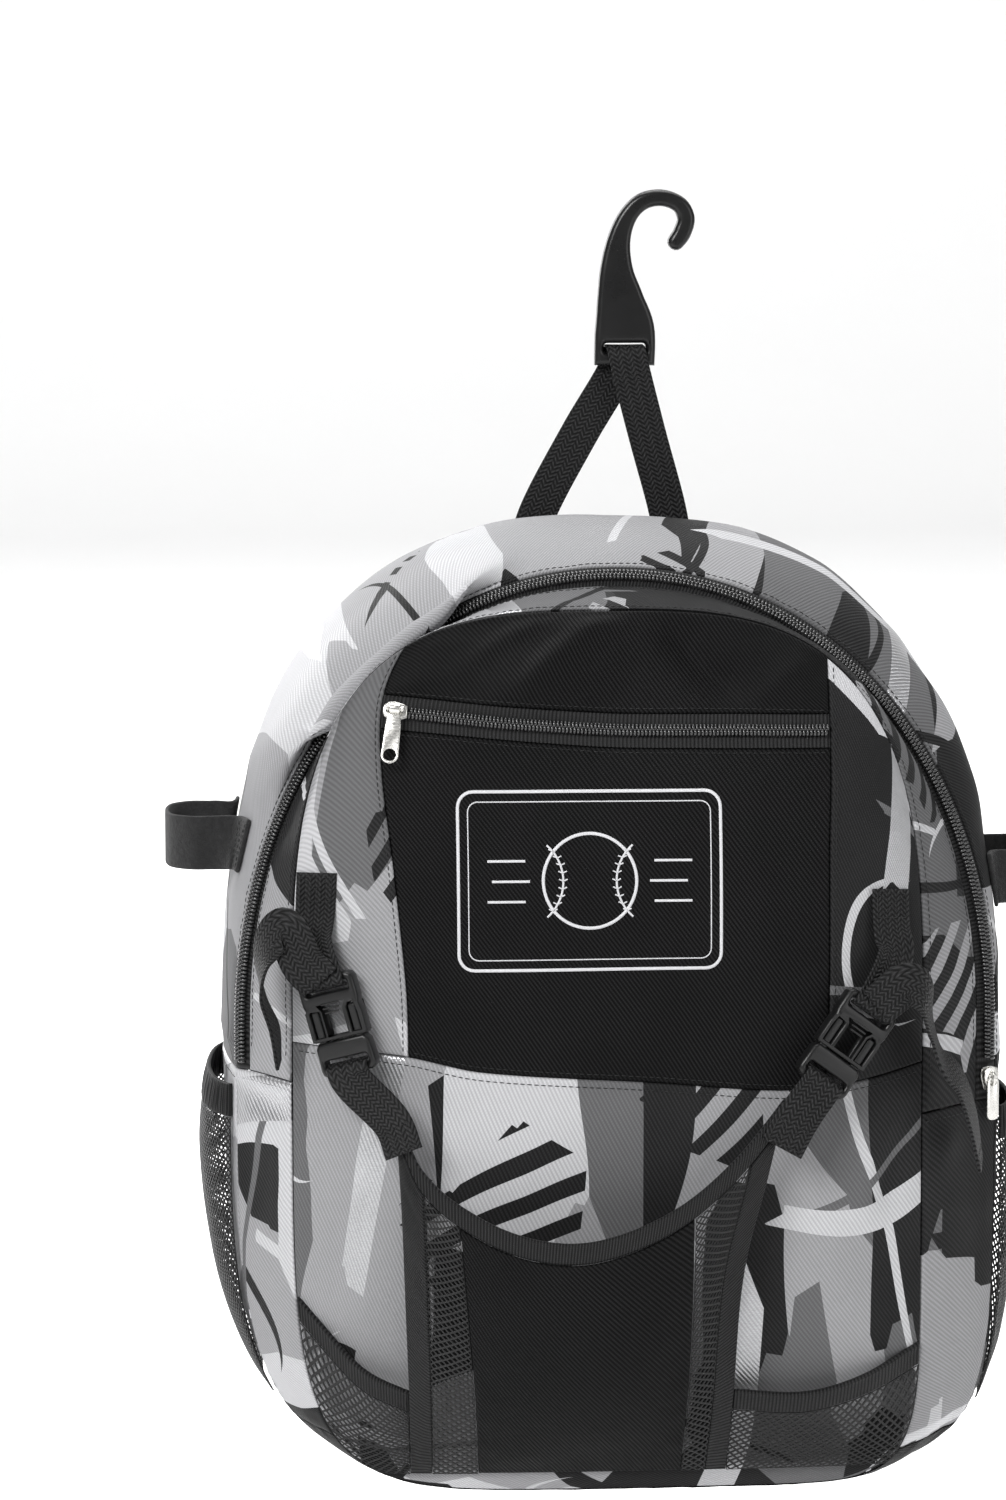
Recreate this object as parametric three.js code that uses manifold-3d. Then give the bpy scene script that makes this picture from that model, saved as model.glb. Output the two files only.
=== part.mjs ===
// Baseball bat backpack that hangs from its fence hook.
// Millimetres, +Z up, the front faces -Y, the origin is the inner crown of the hook.
import * as THREE from 'three';
import Module from 'manifold-3d';
import { mergeVertices } from 'three/addons/utils/BufferGeometryUtils.js';

const wasm = await Module();
wasm.setup();

// Driving sizes of the bag
const bagWidth = 360;
const bagHeight = 438;
const bagDepth = 178;
const hangDrop = 142;
const bagOffset = -32;
const ringCentreShare = 0.484;

// Walls, seams and clearances
const clothWall = 1.6;
const seamGap = 0.42;
const edgeInset = 0.5;
const restGap = 0.35;
const backPadThickness = 8;
const netWall = 1;

// Main zip and its fold
const coilWidth = 4.6;
const coilHeight = 2;
const coilSeat = 1.25;
const foldForward = 30;
const foldInward = 13;
const zipLeftEnd = -95;
const zipRightEnd = 100;
const cornerAngle = 135;
const cornerCrowding = 0.15;

// Pocket zip
const pocketTapeWidth = 15;
const sliderLength = 11;
const sliderWidth = 8;
const sliderThickness = 2;
const pullLength = 27;
const pullWidth = 8;
const pullThickness = 1.6;
const pullHole = 5.6;
const pivotRadius = 1.1;
const pivotGap = 0.35;
const eyeWall = 1;
const lugWidth = 1.2;
const lugInset = 3;
const lugRim = 0.6;
const lugRoot = 0.2;
const pullCorner = 2;
const pullRim = 1.6;

// Glove pouch
const pouchBulge = 40;
const bindingWidth = 10;
const bindingThickness = 2.4;
const pouchSeat = 0.4;
const pouchReach = 0.4;
const pouchBelly = 0.55;
const pouchLean = 0.25;
const pouchRoundness = 0.8;
const pouchSideLift = 0.42;
const pouchMargin = 0.24;

// Webbing
const buckleWebbing = 20;
const buckleWebbingWall = 1.5;
const hookWebbing = 18;
const hookWebbingWall = 1.5;
const batStrapWidth = 25;
const batStrapWall = 2;
const shoulderWebbing = 25;

// Side pockets
const sidePocketLift = 11;
const sidePocketTaper = 0.75;
const sidePocketEase = 0.3;
const elasticHeight = 13;
const elasticWall = 1.8;

// Buckles
const buckleWidth = 28;
const buckleThickness = 8;
const socketLength = 29;
const prongBase = 16;
const prongReach = 15;
const buckleBar = 3.6;
const buckleSlot = 4;
const buckleGap = 0.4;
const buckleBevel = 1.2;

// Fence hook
const hookHeight = 80;
const hookBaseWidth = 29;
const hookThickness = 8;
const hookBevel = 1.5;
const hookSlotWidth = 20;
const hookSlotHeight = 4.6;
const hookBarHeight = 6;
const hookSlotEase = 0.6;
const hookSlotCorner = 1.2;
const hookFoot = 0.955;
const hookLegs = { left: -0.175, right: 0.215 };

// Bat straps
const batLoopReach = 28;
const batLoopDepth = 50;
const batLoopBack = 0.22;

// Carrying straps
const padWidth = 62;
const padThickness = 10;
const padSpread = 48;
const padBow = 52;
const padLength = 250;
const padTop = 0.93;
const adjusterWall = 4;
const adjusterSlot = 5;
const adjusterSpacing = 8;
const adjusterHeight = 34;
const strapFoot = { across: 0.72, up: 0.1 };
const strapLap = 12;
const strapSag = 3;
const strapRise = 14;
const strapLean = 6;

const halfWidth = bagWidth / 2;
const bagTop = -hangDrop;
const bagBottom = bagTop - bagHeight;

const acrossBag = (share) => bagOffset + share * halfWidth;
const upBag = (share) => bagBottom + share * bagHeight;
const rad = THREE.MathUtils.degToRad;
const lerp = THREE.MathUtils.lerp;
const smoothstep = THREE.MathUtils.smoothstep;

// Rings of the bag's skin, from the back seam to the edge of the pocket face.
// half and shift are shares of half the width, rise and fall of the height, top, side and base of the depth.
// up, left and right are the roundness of the upper corners and the two lower corners.
const rings = [
  {
    half: 0.935, shift: 0.012, rise: 0.497, fall: 0.462, top: 0.01, side: 0.01, base: 0.01,
    up: 2.5, left: 3.9, right: 5.5,
  },
  {
    half: 0.985, shift: 0.012, rise: 0.512, fall: 0.474, top: 0.09, side: 0.13, base: 0.14,
    up: 2.5, left: 3.9, right: 5.8,
  },
  {
    half: 1, shift: 0.012, rise: 0.516, fall: 0.478, top: 0.22, side: 0.33, base: 0.36,
    up: 2.5, left: 4, right: 6,
  },
  {
    half: 0.995, shift: 0.012, rise: 0.508, fall: 0.479, top: 0.36, side: 0.5, base: 0.54,
    up: 2.45, left: 4.1, right: 6.2,
  },
  {
    half: 0.985, shift: 0.012, rise: 0.495, fall: 0.479, top: 0.47, side: 0.6, base: 0.63,
    up: 2.3, left: 4.2, right: 6.4,
  },
  {
    half: 0.972, shift: 0.01, rise: 0.477, fall: 0.479, top: 0.545, side: 0.665, base: 0.7,
    up: 2.1, left: 4.4, right: 6.8,
  },
  {
    half: 0.93, shift: 0, rise: 0.459, fall: 0.478, top: 0.59, side: 0.7, base: 0.76,
    up: 2.15, left: 4.6, right: 7.2,
  },
  {
    half: 0.87, shift: -0.012, rise: 0.449, fall: 0.477, top: 0.665, side: 0.775, base: 0.83,
    up: 2.6, left: 4.8, right: 8,
  },
  {
    half: 0.8, shift: -0.03, rise: 0.441, fall: 0.475, top: 0.735, side: 0.865, base: 0.9,
    up: 3.2, left: 5, right: 9,
  },
];
const zipOuterRing = 5;
const zipInnerRing = 6;
const faceRing = 8;
const foldRing = 4;
const foldSpan = 0.9;

// Depth of the pocket face along its middle, by height
const facePlump = [
  { height: 0.0, depth: 0.955 },
  { height: 0.12, depth: 0.985 },
  { height: 0.32, depth: 1.0 },
  { height: 0.52, depth: 0.99 },
  { height: 0.7, depth: 0.955 },
  { height: 0.84, depth: 0.885 },
  { height: 0.93, depth: 0.8 },
];
const facePlumpness = 4;

// Creases of the face: a line from one place to another, its width and how far it stands out
const faceFolds = [
  { fromX: 0.02, fromZ: 0.925, toX: -0.3, toZ: 0.845, width: 0.05, out: 0.032 },
  { fromX: 0.12, fromZ: 0.9, toX: 0.3, toZ: 0.845, width: 0.045, out: -0.018 },
  { fromX: -0.62, fromZ: 0.8, toX: -0.7, toZ: 0.55, width: 0.05, out: 0.016 },
  { fromX: 0.62, fromZ: 0.72, toX: 0.57, toZ: 0.5, width: 0.05, out: 0.016 },
  { fromX: -0.35, fromZ: 0.74, toX: 0.2, toZ: 0.52, width: 0.12, out: -0.014 },
];

// Seams of the pocket face: places across, by height
const leftSeam = [
  { at: 0.42, across: -0.54 },
  { at: 0.53, across: -0.542 },
  { at: 0.6, across: -0.556 },
  { at: 0.68, across: -0.576 },
  { at: 0.77, across: -0.6 },
  { at: 0.84, across: -0.592 },
  { at: 0.89, across: -0.535 },
  { at: 0.93, across: -0.455 },
];
const rightSeam = [
  { at: 0.42, across: 0.5 },
  { at: 0.51, across: 0.515 },
  { at: 0.68, across: 0.519 },
  { at: 0.77, across: 0.528 },
  { at: 0.88, across: 0.527 },
];
// Seams and edges of the pocket face: heights, by place across
const lowerSeam = [
  { at: -0.83, up: 0.485 },
  { at: -0.55, up: 0.476 },
  { at: -0.36, up: 0.46 },
  { at: 0.07, up: 0.447 },
  { at: 0.4, up: 0.436 },
  { at: 0.57, up: 0.441 },
  { at: 0.78, up: 0.456 },
];
const pocketZipLine = [
  { at: -0.6, up: 0.826 },
  { at: -0.38, up: 0.817 },
  { at: -0.05, up: 0.806 },
  { at: 0.2, up: 0.804 },
  { at: 0.54, up: 0.802 },
];

// Edges of the glove pouch
const pouchRim = [
  { at: -0.58, up: 0.43 },
  { at: -0.52, up: 0.37 },
  { at: -0.38, up: 0.326 },
  { at: -0.22, up: 0.304 },
  { at: -0.07, up: 0.305 },
  { at: 0.12, up: 0.333 },
  { at: 0.27, up: 0.378 },
  { at: 0.4, up: 0.435 },
];
const pouchLeft = [
  { at: 0.127, across: -0.545 },
  { at: 0.224, across: -0.556 },
  { at: 0.33, across: -0.566 },
  { at: 0.43, across: -0.58 },
];
const pouchRight = [
  { at: 0.126, across: 0.275 },
  { at: 0.22, across: 0.283 },
  { at: 0.28, across: 0.303 },
  { at: 0.354, across: 0.352 },
  { at: 0.435, across: 0.4 },
];
const centreLeft = [
  { at: 0.02, across: -0.36 },
  { at: 0.18, across: -0.395 },
  { at: 0.335, across: -0.43 },
];
const centreRight = [
  { at: 0.02, across: 0.15 },
  { at: 0.175, across: 0.157 },
  { at: 0.335, across: 0.162 },
];
const leftBand = [
  { at: -0.83, up: 0.222 },
  { at: -0.76, up: 0.19 },
  { at: -0.66, up: 0.149 },
  { at: -0.545, up: 0.127 },
];
const rightBand = [
  { at: 0.275, up: 0.126 },
  { at: 0.45, up: 0.12 },
  { at: 0.6, up: 0.134 },
  { at: 0.76, up: 0.158 },
];
const pouchFoot = 0.03;

// Value of a named column at a key, smooth through the rows
function fromTable(rows, key, name, value) {
  const last = rows.length - 1;
  let i = 0;
  while (i < last - 1 && value > rows[i + 1][key]) {
    i += 1;
  }
  const slope = (k) => {
    const a = rows[Math.max(k - 1, 0)];
    const b = rows[Math.min(k + 1, last)];
    return (b[name] - a[name]) / (b[key] - a[key]);
  };
  const span = rows[i + 1][key] - rows[i][key];
  const f = (value - rows[i][key]) / span;
  if (f < 0) {
    return rows[i][name] + slope(i) * f * span;
  }
  if (f > 1) {
    return rows[i + 1][name] + slope(i + 1) * (f - 1) * span;
  }
  const g = 1 - f;
  const start = rows[i][name] * (1 + 2 * f) * g * g + slope(i) * span * f * g * g;
  const end = rows[i + 1][name] * (3 - 2 * f) * f * f - slope(i + 1) * span * g * f * f;
  return start + end;
}

const ringRows = rings.map((ring, index) => ({ ...ring, index }));
const ringColumn = (name, t) => fromTable(ringRows, 'index', name, t);

// How much the rolled fold at the upper left shows at an angle
function foldWeight(angle) {
  const degrees = THREE.MathUtils.radToDeg(angle);
  return smoothstep(degrees, -64, -46) * (1 - smoothstep(degrees, -30, -13));
}

// Roundness of the ring's corner in the quarter that an angle points to
function roundness(angle, t) {
  if (Math.cos(angle) >= 0) {
    return ringColumn('up', t);
  }
  return ringColumn(Math.sin(angle) < 0 ? 'left' : 'right', t);
}

// Point of a ring: angle 0 is the top, a positive angle turns to the right
function ringPoint(angle, t) {
  const s = Math.sin(angle);
  const c = Math.cos(angle);
  const n = roundness(angle, t);
  const reach = 1 / Math.pow(Math.pow(Math.abs(s), n) + Math.pow(Math.abs(c), n), 1 / n);
  const roll = foldWeight(angle) * Math.max(0, 1 - Math.abs(t - foldRing) / foldSpan);
  const inward = foldInward * Math.pow(roll, 2);
  const width = ringColumn('half', t) * halfWidth - inward;
  const height = ringColumn(c >= 0 ? 'rise' : 'fall', t) * bagHeight - inward;
  const side = ringColumn('side', t);
  const end = ringColumn(c >= 0 ? 'top' : 'base', t);
  const depth = lerp(side, end, c * c) * bagDepth + foldForward * Math.pow(roll, 0.7);
  const x = acrossBag(ringColumn('shift', t)) + width * reach * s;
  return new THREE.Vector3(x, -depth, upBag(ringCentreShare) + height * reach * c);
}

// Angle for an evenly stepped turn: steps crowd together at the two lower corners
function crowdedAngle(turn) {
  return Math.cos(turn) < 0 ? turn + cornerCrowding * Math.sin(4 * turn) : turn;
}

function evenTurn(angle) {
  const tries = 20;
  let turn = angle;
  for (let i = 0; i < tries; i += 1) {
    turn += (angle - crowdedAngle(turn)) * 0.6;
  }
  return turn;
}

function angleBetween(from, to, share) {
  return crowdedAngle(lerp(evenTurn(from), evenTurn(to), share));
}

// Distance in shares from the middle of the face, and the angle there
function faceCoordinates(x, z) {
  const across = (x - acrossBag(ringColumn('shift', faceRing))) / (ringColumn('half', faceRing) * halfWidth);
  const rise = z - upBag(ringCentreShare);
  const along = rise / (ringColumn(rise >= 0 ? 'rise' : 'fall', faceRing) * bagHeight);
  const angle = Math.atan2(across, along);
  const n = roundness(angle, faceRing);
  const reach = Math.pow(Math.pow(Math.abs(across), n) + Math.pow(Math.abs(along), n), 1 / n);
  return { angle, reach };
}

function foldsAt(x, z) {
  let out = 0;
  for (const fold of faceFolds) {
    const from = new THREE.Vector2(acrossBag(fold.fromX), upBag(fold.fromZ));
    const to = new THREE.Vector2(acrossBag(fold.toX), upBag(fold.toZ));
    const run = to.clone().sub(from);
    const along = new THREE.Vector2(x, z).sub(from).dot(run) / run.lengthSq();
    const nearest = from.addScaledVector(run, THREE.MathUtils.clamp(along, 0, 1));
    const far = nearest.distanceTo(new THREE.Vector2(x, z)) / (fold.width * bagHeight);
    out += fold.out * bagDepth * Math.exp(-far * far);
  }
  return out;
}

// Point of the pocket face at a place across and up
function facePoint(x, z) {
  const { angle, reach } = faceCoordinates(x, z);
  const edge = -ringPoint(angle, faceRing).y;
  const height = (z - bagBottom) / bagHeight;
  const middle = fromTable(facePlump, 'height', 'depth', height) * bagDepth;
  const plump = 1 - Math.pow(Math.min(reach, 1), facePlumpness);
  const depth = lerp(edge, middle, plump) + foldsAt(x, z) * Math.min(1, plump * 2);
  return new THREE.Vector3(x, -depth, z);
}

// Point of the whole skin: rings first, then the face from its edge to its middle
function skinPoint(angle, t) {
  if (t <= faceRing) {
    return ringPoint(angle, Math.max(t, 0));
  }
  const edge = ringPoint(angle, faceRing);
  const middle = new THREE.Vector3(acrossBag(ringColumn('shift', faceRing)), 0, upBag(ringCentreShare));
  const share = 1 - (t - faceRing);
  return facePoint(lerp(middle.x, edge.x, share), lerp(middle.z, edge.z, share));
}

const angleStep = 0.012;
const ringStep = 0.06;
const faceStep = 0.02;
const flatStep = 1.5;

// Outward direction of the skin
function skinNormal(angle, t) {
  const turn = skinPoint(angle + angleStep, t).sub(skinPoint(angle - angleStep, t));
  const after = t >= faceRing ? faceStep : ringStep;
  const before = t > faceRing ? faceStep : ringStep;
  const step = skinPoint(angle, t + after).sub(skinPoint(angle, Math.max(t - before, 0)));
  return step.cross(turn).normalize();
}

// Outward direction of a surface given by its place across and up
function flatNormal(surface, x, z) {
  const right = surface(x + flatStep, z).sub(surface(x - flatStep, z));
  const up = surface(x, z + flatStep).sub(surface(x, z - flatStep));
  return right.cross(up).normalize();
}

const nearEdge = 0.6;

function faceNormal(x, z) {
  const { angle, reach } = faceCoordinates(x, z);
  if (reach < nearEdge) {
    return flatNormal(facePoint, x, z);
  }
  return skinNormal(angle, faceRing + 1 - Math.min(reach, 1));
}

const faceSurface = {
  point: facePoint,
  normal: faceNormal,
};

// Closed mesh from vertices and triangles, turned so that its faces point out
function solid(vertices, triangles) {
  let volume = 0;
  for (const [a, b, c] of triangles) {
    volume += vertices[a].dot(vertices[b].clone().cross(vertices[c]));
  }
  const index = triangles.flatMap(([a, b, c]) => (volume > 0 ? [a, b, c] : [a, c, b]));
  const geometry = new THREE.BufferGeometry();
  const places = vertices.flatMap((p) => p.toArray());
  geometry.setAttribute('position', new THREE.Float32BufferAttribute(places, 3));
  geometry.setIndex(index);
  return geometry;
}

// Wall of even thickness behind a grid of points with outward normals
function wall(at, columns, rows, thickness) {
  const vertices = [];
  const triangles = [];
  const layer = (columns + 1) * (rows + 1);
  for (const depth of [0, thickness]) {
    for (let j = 0; j <= rows; j += 1) {
      for (let i = 0; i <= columns; i += 1) {
        const { point, normal } = at(i / columns, j / rows);
        vertices.push(point.clone().addScaledVector(normal, -depth));
      }
    }
  }
  const id = (i, j, back) => back * layer + j * (columns + 1) + i;
  const quad = (a, b, c, d) => triangles.push([a, b, c], [a, c, d]);
  for (let j = 0; j < rows; j += 1) {
    for (let i = 0; i < columns; i += 1) {
      quad(id(i, j, 0), id(i + 1, j, 0), id(i + 1, j + 1, 0), id(i, j + 1, 0));
      quad(id(i, j, 1), id(i, j + 1, 1), id(i + 1, j + 1, 1), id(i + 1, j, 1));
    }
  }
  for (let i = 0; i < columns; i += 1) {
    quad(id(i, 0, 1), id(i + 1, 0, 1), id(i + 1, 0, 0), id(i, 0, 0));
    quad(id(i, rows, 0), id(i + 1, rows, 0), id(i + 1, rows, 1), id(i, rows, 1));
  }
  for (let j = 0; j < rows; j += 1) {
    quad(id(0, j, 0), id(0, j + 1, 0), id(0, j + 1, 1), id(0, j, 1));
    quad(id(columns, j, 1), id(columns, j + 1, 1), id(columns, j + 1, 0), id(columns, j, 0));
  }
  return solid(vertices, triangles);
}

// Share of a line that a gap takes, where place gives the line's points
function gapShare(place, gap) {
  const samples = 12;
  let length = 0;
  for (let i = 0; i < samples; i += 1) {
    length += place(i / samples).distanceTo(place((i + 1) / samples));
  }
  return gap / length;
}

const half = 0.5;

// Wall over a stretch of the rings, with seam gaps along its edges
function ringWall(fromAngle, toAngle, fromRing, toRing, columns, rows, thickness) {
  const angleAt = (u) => angleBetween(rad(fromAngle), rad(toAngle), u);
  const ringAt = (v) => lerp(fromRing, toRing, v);
  const u0 = gapShare((u) => skinPoint(angleAt(u), ringAt(half)), seamGap);
  const v0 = gapShare((v) => skinPoint(angleAt(half), ringAt(v)), seamGap);
  const at = (u, v) => {
    const angle = angleAt(lerp(u0, 1 - u0, u));
    const t = ringAt(lerp(v0, 1 - v0, v));
    return { point: skinPoint(angle, t), normal: skinNormal(angle, t) };
  };
  return wall(at, columns, rows, thickness);
}

// Place inside a patch with four edge curves, each a function from 0 to 1
function insidePatch(edges, u, v) {
  const bottom = edges.bottom(u).multiplyScalar(1 - v).add(edges.top(u).multiplyScalar(v));
  const sides = edges.left(v).multiplyScalar(1 - u).add(edges.right(v).multiplyScalar(u));
  const corners = edges.bottom(0).multiplyScalar((1 - u) * (1 - v))
    .add(edges.bottom(1).multiplyScalar(u * (1 - v)))
    .add(edges.top(0).multiplyScalar((1 - u) * v))
    .add(edges.top(1).multiplyScalar(u * v));
  return bottom.add(sides).sub(corners);
}

// Wall over a patch of a surface given by place across and up
function patchWall(surface, edges, columns, rows, thickness) {
  const onSurface = (place) => surface.point(place.x, place.y);
  const u0 = gapShare((u) => onSurface(insidePatch(edges, u, half)), seamGap);
  const v0 = gapShare((v) => onSurface(insidePatch(edges, half, v)), seamGap);
  const at = (u, v) => {
    const place = insidePatch(edges, lerp(u0, 1 - u0, u), lerp(v0, 1 - v0, v));
    return { point: onSurface(place), normal: surface.normal(place.x, place.y) };
  };
  return wall(at, columns, rows, thickness);
}

// Lines on the front, as functions in millimetres
const acrossAt = (rows) => (z) => acrossBag(fromTable(rows, 'at', 'across', (z - bagBottom) / bagHeight));
const upAt = (rows) => (x) => upBag(fromTable(rows, 'at', 'up', (x - bagOffset) / halfWidth));
const shifted = (line, by) => (value) => line(value) + by;

// Edge curves of patches
const alongUp = (line, from, to) => (s) => {
  const z = lerp(from, to, s);
  return new THREE.Vector2(line(z), z);
};
const alongAcross = (line, from, to) => (s) => {
  const x = lerp(from, to, s);
  return new THREE.Vector2(x, line(x));
};
const alongRing = (from, to) => (s) => {
  const p = ringPoint(angleBetween(from, to, s), faceRing);
  const middle = new THREE.Vector2(acrossBag(ringColumn('shift', faceRing)), upBag(ringCentreShare));
  const out = new THREE.Vector2(p.x, p.z).sub(middle);
  return middle.addScaledVector(out, 1 - edgeInset / out.length());
};
const straight = (a, b) => (s) => a.clone().lerp(b, s);

// Where an upright line and a level line meet
function meeting(upright, level) {
  const tries = 8;
  let z = level(bagOffset);
  for (let i = 0; i < tries; i += 1) {
    z = level(upright(z));
  }
  return new THREE.Vector2(upright(z), z);
}

// Angle between two others at which a measure of the face's edge changes sign
function crossing(from, to, measure) {
  const tries = 30;
  const start = Math.sign(measure(ringPoint(from, faceRing)));
  let near = from;
  let far = to;
  for (let i = 0; i < tries; i += 1) {
    const mid = (near + far) / 2;
    if (Math.sign(measure(ringPoint(mid, faceRing))) === start) {
      near = mid;
    } else {
      far = mid;
    }
  }
  return (near + far) / 2;
}

// Ring angle where a level line reaches the face's edge on one side
function levelMeetsEdge(level, side) {
  return crossing(side * rad(45), side * rad(178), (p) => p.z - level(p.x));
}

// Ring angle where an upright line reaches the top edge of the face
function uprightMeetsEdge(upright) {
  return crossing(rad(-70), rad(70), (p) => p.x - upright(p.z));
}

const group = new THREE.Group();
const printed = { color: 0x9a9b9e, roughness: 0.62, metalness: 0 };
const twill = { color: 0x17171a, roughness: 0.8, metalness: 0 };
const net = { color: 0x1d1d1f, roughness: 0.75, metalness: 0 };
const webbing = { color: 0x141416, roughness: 0.85, metalness: 0 };
const binding = { color: 0x101012, roughness: 0.8, metalness: 0 };
const plastic = { color: 0x1c1d20, roughness: 0.4, metalness: 0 };
const nickel = { color: 0xc9c6c0, roughness: 0.28, metalness: 1 };
const coil = { color: 0x0d0d0f, roughness: 0.55, metalness: 0 };

function add(name, geometry, look) {
  const mesh = new THREE.Mesh(geometry, new THREE.MeshStandardMaterial(look));
  mesh.name = name;
  group.add(mesh);
  return mesh;
}

// Closed outline in the plane that faces the front, thickened along Y
function plate(outline, holes, thickness, bevel = 0) {
  const shape = new THREE.Shape(outline);
  for (const hole of holes) {
    shape.holes.push(new THREE.Path(hole));
  }
  const geometry = new THREE.ExtrudeGeometry(shape, {
    depth: thickness - 2 * bevel,
    bevelEnabled: bevel > 0,
    bevelThickness: bevel,
    bevelSize: bevel,
    bevelOffset: -bevel,
    bevelSegments: 1,
    curveSegments: 1,
  });
  geometry.rotateX(rad(90));
  geometry.translate(0, thickness / 2 - bevel, 0);
  return geometry;
}

// Geometry as a solid for joining and cutting, and back
function toManifold(geometry) {
  const bare = geometry.clone();
  bare.deleteAttribute('normal');
  bare.deleteAttribute('uv');
  const merged = mergeVertices(bare, 1e-4);
  return new wasm.Manifold(new wasm.Mesh({
    numProp: 3,
    vertProperties: new Float32Array(merged.attributes.position.array),
    triVerts: new Uint32Array(merged.index.array),
  }));
}

function fromManifold(manifold) {
  const mesh = manifold.getMesh();
  const geometry = new THREE.BufferGeometry();
  geometry.setAttribute('position', new THREE.BufferAttribute(new Float32Array(mesh.vertProperties), 3));
  geometry.setIndex(new THREE.BufferAttribute(new Uint32Array(mesh.triVerts), 1));
  return geometry;
}

// Flat band along a route of points with the direction that its face looks in
function band(route, width, thickness, steps) {
  const curve = new THREE.CatmullRomCurve3(route.map((stop) => stop.point), false, 'centripetal');
  const facing = new THREE.CatmullRomCurve3(route.map((stop) => stop.face), false, 'centripetal');
  const vertices = [];
  const triangles = [];
  for (let i = 0; i <= steps; i += 1) {
    const point = curve.getPoint(i / steps);
    const tangent = curve.getTangent(i / steps);
    const across = facing.getPoint(i / steps).cross(tangent).normalize();
    const out = tangent.clone().cross(across).normalize();
    for (const [a, b] of [[-1, -1], [1, -1], [1, 1], [-1, 1]]) {
      const corner = point.clone().addScaledVector(across, (a * width) / 2);
      vertices.push(corner.addScaledVector(out, (b * thickness) / 2));
    }
  }
  for (let i = 0; i < steps; i += 1) {
    for (let k = 0; k < 4; k += 1) {
      const a = i * 4 + k;
      const b = i * 4 + ((k + 1) % 4);
      triangles.push([a, b, b + 4], [a, b + 4, a + 4]);
    }
  }
  const end = steps * 4;
  triangles.push([0, 2, 1], [0, 3, 2], [end, end + 1, end + 2], [end, end + 2, end + 3]);
  return solid(vertices, triangles);
}

// Stop of a band that lies on the face, a distance off it
function onFace(across, up, off) {
  const x = acrossBag(across);
  const z = upBag(up);
  const face = faceNormal(x, z);
  return { point: facePoint(x, z).addScaledVector(face, off), face };
}

// Back panel, flat, inside the back seam
function backPanel() {
  const points = 44;
  const inset = clothWall + 3 * seamGap;
  const middle = new THREE.Vector2(bagOffset, upBag(ringCentreShare));
  const outline = [];
  for (let i = 0; i < points; i += 1) {
    const p = ringPoint(crowdedAngle((i / points) * Math.PI * 2), 0);
    const place = new THREE.Vector2(p.x, p.z).sub(middle);
    outline.push(place.setLength(place.length() - inset).add(middle));
  }
  const geometry = plate(outline, [], backPadThickness, 0);
  geometry.translate(0, -backPadThickness / 2, 0);
  add('back_panel', geometry, twill);
}

// Printed walls round the bag, in pieces that meet at seams
function walls() {
  add('gusset_arch', ringWall(zipLeftEnd, zipRightEnd, 0, zipOuterRing, 36, 8, clothWall), printed);
  add('gusset_left', ringWall(-cornerAngle, zipLeftEnd, 0, zipOuterRing, 8, 5, clothWall), printed);
  add('gusset_right', ringWall(zipRightEnd, cornerAngle, 0, zipOuterRing, 8, 5, clothWall), printed);
  const lowerLeft = ringWall(-cornerAngle, zipLeftEnd, zipOuterRing, faceRing, 9, 3, clothWall);
  const lowerRight = ringWall(zipRightEnd, cornerAngle, zipOuterRing, faceRing, 8, 3, clothWall);
  add('lower_front_left', lowerLeft, printed);
  add('lower_front_right', lowerRight, printed);
  add('bottom_panel', ringWall(cornerAngle, 360 - cornerAngle, 0, faceRing, 14, 6, clothWall), twill);
  const facing = ringWall(zipLeftEnd, zipRightEnd, zipInnerRing, faceRing, 44, 2, clothWall);
  add('front_facing', facing, printed);
}

// Zip along the arch: its tape lies in the skin, its coil stands on the tape
function mainZip() {
  const tape = ringWall(zipLeftEnd, zipRightEnd, zipOuterRing, zipInnerRing, 44, 1, clothWall);
  add('main_zip_tape', tape, coil);
  const middle = (zipOuterRing + zipInnerRing) / 2;
  const steps = 44;
  const stopAt = (degrees) => {
    const face = skinNormal(rad(degrees), middle);
    const off = coilSeat + coilHeight / 2;
    return { point: skinPoint(rad(degrees), middle).addScaledVector(face, off), face };
  };
  const sliderTurn = THREE.MathUtils.radToDeg((sliderLength + 2 * restGap) / halfWidth);
  const gapTurn = THREE.MathUtils.radToDeg((2 * restGap) / halfWidth);
  const coilEnd = zipRightEnd - sliderTurn - 1;
  const route = [];
  for (let i = 0; i <= steps; i += 1) {
    route.push(stopAt(lerp(zipLeftEnd + 1, coilEnd, i / steps)));
  }
  add('main_zip_coil', band(route, coilWidth, coilHeight, steps), coil);
  const sliderRoute = [stopAt(coilEnd + gapTurn), stopAt(coilEnd + sliderTurn)];
  add('main_zip_slider', band(sliderRoute, sliderWidth, coilHeight, 2), nickel);
}

const seamLeft = acrossAt(leftSeam);
const seamRight = acrossAt(rightSeam);
const seamLow = upAt(lowerSeam);
const zipLine = upAt(pocketZipLine);

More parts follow.
